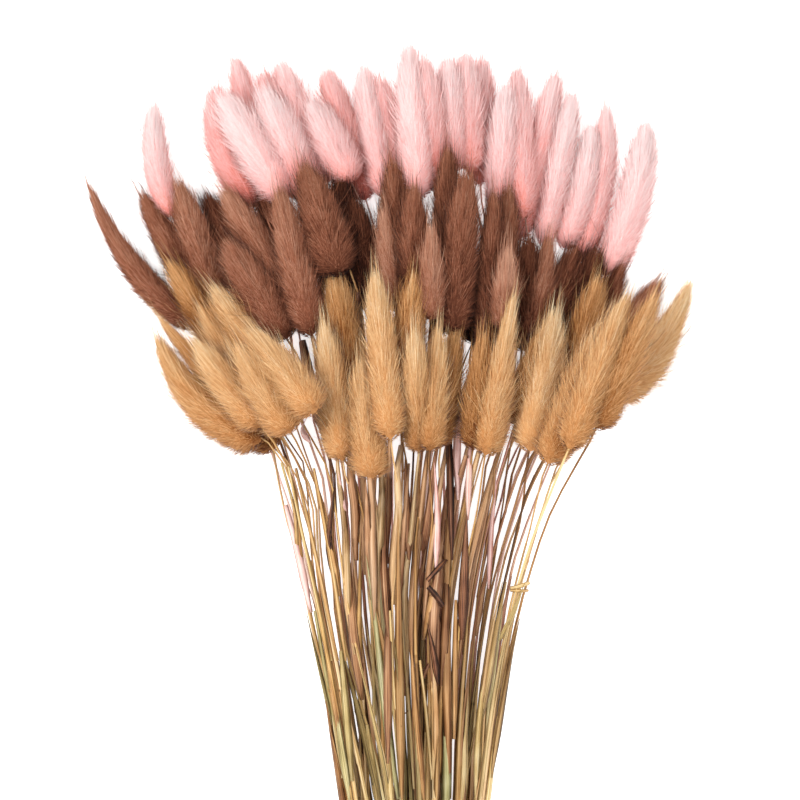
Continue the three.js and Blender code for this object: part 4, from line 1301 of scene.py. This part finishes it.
# %% Straw materials
STRAW_SHADES = ["#241206", "#65401e", "#a3733c", "#cd9e5a", "#e1bd7e", "#efd7a4"]
OLIVE_SHADES = ["#27240f", "#5d5630", "#918b56", "#b9b47c", "#d4cf9e", "#e8e4c2"]
DYE_SHADES = {
    "pink": ["#5a2a20", "#a5624f", "#da9886", "#f0b9ac", "#fad2ca", "#fee6e0"],
    "brown": ["#1a0c05", "#4a2816", "#855338", "#b37d58", "#cd9f78", "#dfba98"],
    "tan": ["#341b0d", "#784827", "#ad774a", "#cf9a6a", "#e4b98c", "#f2d6b4"],
}
FIBRE_SIZE, FIBRE_NOISE = (2600, 2600, 24), 2.3
FIBRE_BUMP, FIBRE_DEPTH = 0.35, 0.2 * MM


def add_bump(material, shader, height, strength, depth):
    """Raises a surface by a noise."""
    bump = node_of(material, "ShaderNodeBump", {"Strength": strength, "Distance": depth})
    material.node_tree.links.new(height, bump.inputs["Height"])
    material.node_tree.links.new(bump.outputs["Normal"], shader.inputs["Normal"])


def straw_material(name, colour):
    """Straw with fibres along it, from gold to olive and to the dye of its colour."""
    material, shader = new_material(name, 0.55, {"Specular IOR Level": 0.3})
    link = material.node_tree.links.new
    place = node_of(material, "ShaderNodeCombineXYZ")
    for axis, key in (("X", "round_x"), ("Y", "round_y"), ("Z", "along")):
        link(value_of(material, key), place.inputs[axis])
    stretch = node_of(material, "ShaderNodeVectorMath", {1: FIBRE_SIZE}, operation="MULTIPLY")
    fibre = node_of(material, "ShaderNodeTexNoise", {"Scale": 1.0, "Detail": 4, "Roughness": 0.65})
    link(place.outputs[0], stretch.inputs[0])
    link(stretch.outputs[0], fibre.inputs["Vector"])
    shade = uneven_shade(material, fibre, FIBRE_NOISE)
    mixed = ramp_of(material, shade, STRAW_SHADES)
    for key, shades in (("olive", OLIVE_SHADES), ("dye", DYE_SHADES[colour])):
        mix = node_of(material, "ShaderNodeMix", data_type="RGBA")
        link(value_of(material, key), mix.inputs["Factor"])
        link(mixed, mix.inputs[6])
        link(ramp_of(material, shade, shades), mix.inputs[7])
        mixed = mix.outputs[2]
    link(mixed, shader.inputs["Base Color"])
    add_bump(material, shader, fibre.outputs["Fac"], FIBRE_BUMP, FIBRE_DEPTH)
    return material


straws = {key: straw_material(f"{key}_straw", key) for key in PLUMES}
print("straw materials:", [material.name for material in straws.values()])

# %% [markdown]
# The leaves that the photograph shows are listed, in pixels from the end on the stem to the tip, with a width
# in millimetres and a shade. Many more narrow ones leave the sheaths' ends at random, so that the bundle
# looks as ragged as real straw.

# %% Listed leaves
def leaf(at, width, shade, rise=0.0, **look):
    """One listed leaf: its places, width and looks, and how many millimetres higher than usual it lies."""
    return {"at": at, "width": width, "rise": rise, "look": {"shade": shade, **look}}


LEAVES = {
    "pink": [
        leaf([(311, 612), (300, 560), (285, 506)], 3.2, 0.72, dye=1.0, twist=0.3, blunt=0.5),
        leaf([(310, 442), (302, 430), (308, 416)], 3.0, 0.7, dye=1.0, twist=2.0),
        leaf([(458, 500), (457, 450), (461, 405), (478, 352)], 3.4, 0.7, dye=1.0, twist=0.3, rise=3.0),
        leaf([(468, 520), (469, 470), (476, 400)], 2.6, 0.7, dye=0.9, twist=-0.6),
        leaf([(436, 570), (437, 510), (434, 462)], 2.8, 0.65, dye=1.0, twist=0.6),
        leaf([(489, 590), (492, 530), (497, 470)], 2.4, 0.7, dye=1.0, twist=0.4),
        leaf([(349, 560), (345, 510), (338, 470)], 2.6, 0.65, dye=1.0, twist=0.5),
    ],
    "brown": [
        leaf([(450, 800), (446, 620), (450, 500), (452, 400)], 4.2, 0.5, dye=0.6, twist=0.1),
        leaf([(388, 760), (388, 640), (391, 530)], 3.6, 0.5, dye=0.9, twist=0.2),
        leaf([(402, 800), (399, 660), (398, 500)], 4.0, 0.5, dye=0.4, twist=0.1),
        leaf([(362, 700), (354, 630), (348, 545)], 4.6, 0.46, dye=0.8, twist=0.4),
        leaf([(372, 600), (368, 540), (366, 480)], 4.4, 0.6, dye=0.9, twist=0.2),
        leaf([(409, 560), (407, 510), (405, 455)], 3.6, 0.45, dye=0.9, twist=0.2),
        leaf([(462, 640), (464, 580), (467, 510)], 4.4, 0.34, dye=1.0, twist=0.2),
        leaf([(429, 664), (424, 676), (416, 692)], 3.0, 0.45, dye=1.0, twist=1.8),
        leaf([(337, 590), (329, 545), (333, 500), (336, 470)], 3.4, 0.2, dye=1.0, twist=1.6),
        leaf([(427, 580), (436, 570), (446, 560)], 2.2, 0.24, dye=1.0, twist=0.5, blunt=0.8, rise=4.0),
        leaf([(428, 586), (435, 594), (443, 606)], 2.3, 0.18, dye=1.0, twist=0.4, blunt=0.8, rise=4.0),
        leaf([(452, 560), (450, 470), (450, 405), (457, 380), (474, 338)],
             3.2, 0.22, dye=1.0, twist=0.4, rise=4.0),
        leaf([(326, 440), (313, 395), (301, 340)], 5.5, 0.45, dye=1.0, blunt=0.5),
        # The next three broad dark leaves lie under the plumes and fill the gaps between them with painted
        # shade.
        leaf([(362, 400), (360, 345), (358, 292)], 5.0, 0.2, dye=1.0, blunt=0.4),
        leaf([(323, 400), (321, 335), (320, 274)], 5.0, 0.2, dye=1.0, blunt=0.4),
        leaf([(435, 400), (435, 350), (436, 304)], 6.5, 0.2, dye=1.0, blunt=0.5),
        leaf([(390, 650), (384, 560), (386, 480)], 3.4, 0.42, dye=0.9, twist=0.3),
        leaf([(441, 700), (446, 600), (446, 500)], 3.8, 0.42, dye=0.8, twist=0.3),
        leaf([(438, 684), (434, 655), (427, 622)], 3.0, 0.16, dye=1.0, twist=0.3, rise=3.0),
    ],
    "tan": [
        leaf([(398, 800), (384, 700), (374, 610), (366, 555)], 3.4, 0.62, twist=0.2, olive=0.9),
        leaf([(446, 820), (446, 760), (444, 690)], 4.6, 0.55, twist=0.2, olive=0.9),
        leaf([(476, 800), (480, 720), (489, 640)], 3.2, 0.68, twist=0.2, olive=0.3),
        leaf([(510, 588), (520, 585), (529, 582)], 1.6, 0.85, twist=0.2, blunt=0.9),
        leaf([(510, 590), (520, 590), (528, 590)], 1.3, 0.7, twist=0.2, blunt=0.8),
        leaf([(340, 596), (332, 552), (324, 502)], 3.6, 0.5, twist=0.7, dye=0.4),
        leaf([(424, 640), (432, 600), (440, 560)], 3.4, 0.42, twist=0.5, dye=0.6),
        leaf([(500, 640), (513, 612), (524, 582)], 3.0, 0.55, twist=-0.6, olive=0.4),
        leaf([(398, 700), (386, 655), (376, 610)], 3.4, 0.5, twist=0.5, dye=0.5),
        leaf([(404, 738), (398, 724), (409, 710)], 3.6, 0.32, twist=2.2, dye=0.8),
        leaf([(350, 800), (341, 740), (333, 680)], 3.0, 0.55, twist=0.4, olive=0.7),
        leaf([(332, 660), (306, 550), (282, 462)], 1.5, 0.66, blunt=0.6, olive=0.3),
        leaf([(338, 660), (317, 560), (296, 468)], 1.7, 0.6, blunt=0.6, dye=0.3),
        leaf([(346, 660), (331, 560), (314, 468)], 1.9, 0.64, blunt=0.5, dye=0.2),
        leaf([(324, 630), (303, 535), (289, 466)], 1.4, 0.72, blunt=0.6, olive=0.2),
        leaf([(352, 780), (347, 720), (341, 650)], 3.4, 0.6, blunt=0.4, olive=0.5),
        leaf([(352, 800), (336, 700), (321, 620), (310, 560)], 2.2, 0.6, blunt=0.5),
        leaf([(345, 780), (329, 690), (315, 610)], 2.0, 0.5, blunt=0.5, olive=0.7),
        leaf([(346, 760), (333, 690), (325, 640)], 2.6, 0.44, blunt=0.4, dye=0.4),
        leaf([(379, 812), (373, 770), (367, 725)], 3.2, 0.5, blunt=0.4, olive=0.4),
        leaf([(393, 814), (390, 780), (388, 740)], 2.6, 0.6, blunt=0.4, olive=0.3),
        leaf([(454, 740), (455, 660), (456, 600)], 2.8, 0.5, blunt=0.4, dye=0.5),
        leaf([(432, 780), (428, 730), (420, 660)], 1.8, 0.78, blunt=0.5),
        leaf([(414, 790), (408, 700), (402, 620)], 1.6, 0.8, blunt=0.5),
        leaf([(402, 770), (394, 690), (390, 610)], 1.6, 0.76, blunt=0.5),
        leaf([(424, 800), (416, 720), (411, 640)], 3.6, 0.45, twist=0.3, dye=0.5),
    ],
}

# Where broad sheaths lie across the bundle, how many mm under its top, how dyed they are and their shade.
BROAD_SHEATHS = [
    (0.21, 2.0, 0.5, 0.5), (0.255, 1.0, 0.9, 0.42), (0.29, 3.0, 0.8, 0.36), (0.325, 0.0, 0.9, 0.55),
    (0.355, 2.0, 0.5, 0.5), (0.385, 3.5, 0.9, 0.3), (0.42, 1.5, 0.6, 0.55), (0.45, 3.0, 0.9, 0.34),
    (0.48, 0.0, 0.5, 0.52), (0.51, 2.5, 0.8, 0.4), (0.54, 4.0, 1.0, 0.26), (0.575, 1.0, 0.9, 0.42),
    (0.61, 0.5, 1.0, 0.4), (0.64, 3.0, 1.0, 0.3), (0.68, 2.0, 0.6, 0.45), (0.75, 3.0, 0.8, 0.4),
]
LOOSE_LEAVES = {"pink": 12, "brown": 14, "tan": 14}
SHEATHS = {"pink": 16, "brown": 24, "tan": 26}
print("leaves by hand:", {colour: len(leaves) for colour, leaves in LEAVES.items()})

# %% The stems' pieces
STEMS_SEED = 50
RISE_OVER_STEMS, NEAR_STEM = 1.0 * MM, 2.5 * MM
HEIGHT_ALONE, LEAST_HEIGHT = 15 * MM, 2 * MM
BROAD_BOTTOMS, BROAD_TOPS, BROAD_WIDTHS = (560, 760), (425, 465), (2.6 * MM, 4.2 * MM)
LOOSE_LENGTHS, LOOSE_WIDTHS = (26 * MM, 80 * MM), (1.4 * MM, 3.0 * MM)
LOOSE_BACK, LOOSE_FROM_HEAD, LOOSE_LEAST = 3 * MM, 30 * MM, 15 * MM
LOOSE_STEPS, LOOSE_ASIDE = np.array([0, 0.3, 0.65, 1]), np.array([0, 0.15, 0.5, 1])
LOOSE_RISE = np.array([0.4, 0.9, 1.2, 1.6]) * MM
SHEATH_STARTS, SHEATH_TOP = (0.12, 0.55), 0.72
SHEATH_SPANS, SHEATH_WIDTHS = (50 * MM, 130 * MM), (2.0 * MM, 3.9 * MM)
SHEATH_ASIDE = np.array([0, 0.6, 1, 1, 1, 1])
SHEATH_RISE = np.array([0.2, 0.5, 0.7, 0.8, 0.9, 1.0]) * MM


def over_stems(pixels, below=0.0):
    """Places over the stems there, or as high as the leaf's last place where there are none."""
    path = []
    for pixel in pixels:
        place = from_pixel(pixel)
        near = np.linalg.norm(every_stem[:, :2] - place[:2], axis=1) < NEAR_STEM
        height = every_stem[near, 2].max() if near.any() else (path[-1][2] if path else HEIGHT_ALONE)
        path.append(from_pixel(pixel, max(height + RISE_OVER_STEMS - below, LEAST_HEIGHT)))
    return path


def broad_sheath(skins, rng, share, below, dye, shade):
    """A wide dry sheath that follows the fan, at a share of the bundle's width."""
    rows = np.linspace(rng.uniform(*BROAD_BOTTOMS), rng.uniform(*BROAD_TOPS), 6)
    left, right = np.interp(rows, ROWS, LEFT_EDGE), np.interp(rows, ROWS, RIGHT_EDGE)
    pixels = list(zip(left + (right - left) * share + rng.normal(0, 0.8, 6), rows))
    leaf_skin(
        skins, over_stems(pixels, below * MM), rng.uniform(*BROAD_WIDTHS), rng,
        twist=rng.normal(0, 0.15), fold=0.4, shade=shade + 0.13, dye=dye, olive=rng.random() * 0.5,
        blunt=rng.uniform(0.1, 0.5), paler=0.2,
    )


def dye_of(rng, colour, dyed, undyed):
    """How much dye a leaf has: the tan stems' leaves have the least."""
    return rng.uniform(*dyed) if colour != "tan" else rng.random() * undyed


def loose_leaf(skins, rng, ways, colour):
    """A narrow leaf that leaves its stem where a sheath ends, unless it would reach the plume."""
    dense, along, sheath_ends = ways[rng.integers(len(ways))]
    start = sheath_ends[rng.integers(3)] - LOOSE_BACK
    length = min(rng.uniform(*LOOSE_LENGTHS), along[-1] - start - LOOSE_FROM_HEAD)
    if length < LOOSE_LEAST:
        return
    path = place_on(dense, along, start + LOOSE_STEPS * length)
    path[:, 0] += LOOSE_ASIDE * (rng.normal(0, 0.045) * length)
    path[:, 2] += LOOSE_RISE
    leaf_skin(
        skins, path, rng.uniform(*LOOSE_WIDTHS), rng,
        twist=rng.normal(0, 1.2), fold=rng.uniform(0.1, 0.5), shade=rng.uniform(0.35, 0.75),
        olive=rng.random() * 0.4, dye=dye_of(rng, colour, (0.3, 1.0), 0.6),
    )


def long_sheath(skins, rng, ways, colour):
    """A long sheath that lies close to its stem."""
    dense, along, _ = ways[rng.integers(len(ways))]
    start = rng.uniform(*SHEATH_STARTS) * along[-1]
    length = min(rng.uniform(*SHEATH_SPANS), along[-1] * SHEATH_TOP - start)
    path = place_on(dense, along, start + np.linspace(0, 1, 6) * length)
    path[:, 0] += SHEATH_ASIDE * rng.normal(0, 0.9 * MM)
    path[:, 2] += SHEATH_RISE
    leaf_skin(
        skins, path, rng.uniform(*SHEATH_WIDTHS), rng,
        twist=rng.normal(0, 0.5), fold=rng.uniform(0.3, 0.8), shade=rng.uniform(0.22, 0.72),
        olive=rng.random() ** 2, dye=dye_of(rng, colour, (0.1, 0.9), 0.7), blunt=rng.random() * 0.2,
    )


for colour_index, colour in enumerate(PLUMES):
    rng = np.random.default_rng(STEMS_SEED + colour_index)
    skins = Skins(STRAW_KEYS)
    ways = [stem_skin(skins, way, rng, colour) for way in stem_ways[colour]]
    for entry in LEAVES[colour]:
        path = over_stems(entry["at"], -entry["rise"] * MM)
        leaf_skin(skins, path, entry["width"] * MM, rng, **entry["look"])
    if colour == "brown":
        for sheath in BROAD_SHEATHS:
            broad_sheath(skins, rng, *sheath)
    for _ in range(LOOSE_LEAVES[colour]):
        loose_leaf(skins, rng, ways, colour)
    for _ in range(SHEATHS[colour]):
        long_sheath(skins, rng, ways, colour)
    stems_piece = skins.piece(f"{colour}_straw_stems", straws[colour])
    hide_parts(f"{colour}_stems")
    print(colour, "stems:", len(ways), "with", len(stems_piece.data.polygons), "faces")

# %% [markdown]
# ## Twine
#
# The tie is a jute cord of three strands, wound twice round the stems and knotted on top, with two loose
# ends. Each strand is a helix round the cord's own way.

# %% The cord's ways
CORNER, TWINE_PITCH, TWINE_SLACK = 4 * MM, 2.5 * MM, 0.8 * MM
CORNER_PARTS = (0, 0.33, 0.67, 1)
MOST_IN_ROW = 14
FLAT_TO_MIDDLE = TWINE_RADIUS * math.sqrt(3) / 2
half_width = MOST_IN_ROW * STEM_PITCH / 2 + 2 * GAP + TWINE_RADIUS
tie_top = row_heights[-1] + STEM_HEIGHT / 2 + GAP + TWINE_SLACK + FLAT_TO_MIDDLE


def turn_way(aside):
    """One turn round the stems with rounded corners, which starts and ends at its right side."""
    way = []
    half_height = (tie_top - FLAT_TO_MIDDLE) / 2
    for quarter in range(4):
        side_x = 1 if quarter in (0, 3) else -1
        side_z = 1 if quarter < 2 else -1
        for part in CORNER_PARTS:
            angle = (quarter + part) * math.pi / 2
            x = side_x * (half_width - CORNER) + math.cos(angle) * CORNER
            z = FLAT_TO_MIDDLE + half_height + side_z * (half_height - CORNER) + math.sin(angle) * CORNER
            way.append(tie_middle + np.array([x, aside, z]))
    middle = (way[0] + way[-1]) / 2
    return [middle, *way, middle]


def over_top(*places):
    """A way over the top of the tie, from places in mm."""
    return [tie_middle + np.array([x, y, tie_top / MM + z]) * MM for x, y, z in places]


CORDS = [
    turn_way(-TWINE_PITCH / 2),
    turn_way(TWINE_PITCH / 2),
    over_top((3, 3.6, 0.4), (3.2, 1.4, 1.7), (2.8, -1.4, 1.7), (3, -3.6, 0.4)),
    over_top((3.4, 0.5, 1.5), (-2, -5, 1.4), (-8, -16, 1.6), (-8, -30, 2)),
    over_top((2.6, -0.5, 1.5), (7, -6, 1.4), (12, -15, 1.6), (15, -26, 2)),
]
print("cords:", [len(cord) for cord in CORDS])

# %% The twine's strands
STRANDS, STRAND_SIDES, STRAND_STEP = 3, 6, 0.9 * MM
STRAND_RADIUS, STRAND_OUT, STRAND_TURN = 0.62 * MM, 0.48 * MM, 5.5 * MM
STRAND_UNEVEN, STRAND_SHADE, STRAND_SHADE_UNEVEN = 0.06, 0.55, 0.12
TWINE_SEED = 7
JUTE_SHADES = ["#4f3a1e", "#86683c", "#b3925e", "#c9ab78", "#dcc597"]
JUTE_NOISE_SIZE, JUTE_BUMP, JUTE_DEPTH = 2500, 0.6, 0.15 * MM


def steady_frames(tangents):
    """Directions across a way that turn with it and never spin round it."""
    across = np.zeros_like(tangents)
    first = np.cross(tangents[0], (0.1, 1.0, 0.3))
    across[0] = first / np.linalg.norm(first)
    for index in range(1, len(tangents)):
        carried = across[index - 1] - tangents[index] * (across[index - 1] @ tangents[index])
        across[index] = carried / np.linalg.norm(carried)
    return across, np.cross(tangents, across)


def jute_material():
    material, shader = new_material("jute", 0.9)
    link = material.node_tree.links.new
    link(ramp_of(material, value_of(material, "shade"), JUTE_SHADES), shader.inputs["Base Color"])
    place = node_of(material, "ShaderNodeTexCoord")
    noise = node_of(material, "ShaderNodeTexNoise", {"Scale": JUTE_NOISE_SIZE})
    link(place.outputs["Object"], noise.inputs["Vector"])
    add_bump(material, shader, noise.outputs["Fac"], JUTE_BUMP, JUTE_DEPTH)
    return material


def strand_skin(places, rng):
    """One strand: a tube of uneven width whose rings stand square to its way."""
    side, rise = steady_frames(unit(np.gradient(places, axis=0)))
    angles = ring_angles(STRAND_SIDES)
    ring = side[:, None] * np.cos(angles)[None, :, None] - rise[:, None] * np.sin(angles)[None, :, None]
    radii = STRAND_RADIUS * (1 + rng.normal(0, STRAND_UNEVEN, len(places)))
    points = (places[:, None] + ring * radii[:, None, None]).reshape(-1, 3)
    points[:, 2] = np.maximum(points[:, 2], 0)
    return points, *tube_faces(len(places), STRAND_SIDES)


rng = np.random.default_rng(TWINE_SEED)
twine = Skins(("shade",))
for cord in CORDS:
    dense, along = curve_through(cord)
    steps = np.linspace(0, along[-1], int(along[-1] / STRAND_STEP))
    way = place_on(dense, along, steps)
    across, up = steady_frames(unit(np.gradient(way, axis=0)))
    for strand in range(STRANDS):
        turn = steps / STRAND_TURN * FULL_TURN + strand * FULL_TURN / STRANDS
        outward = across * np.cos(turn)[:, None] + up * np.sin(turn)[:, None]
        points, quads, ends = strand_skin(way + outward * STRAND_OUT, rng)
        shades = STRAND_SHADE + rng.normal(0, STRAND_SHADE_UNEVEN, len(steps))
        twine.add(points, quads, ends, shade=np.repeat(shades, STRAND_SIDES))
twine_piece = twine.piece("twine", jute_material())
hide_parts("twine_tie")
print("twine:", len(twine_piece.data.polygons), "faces")
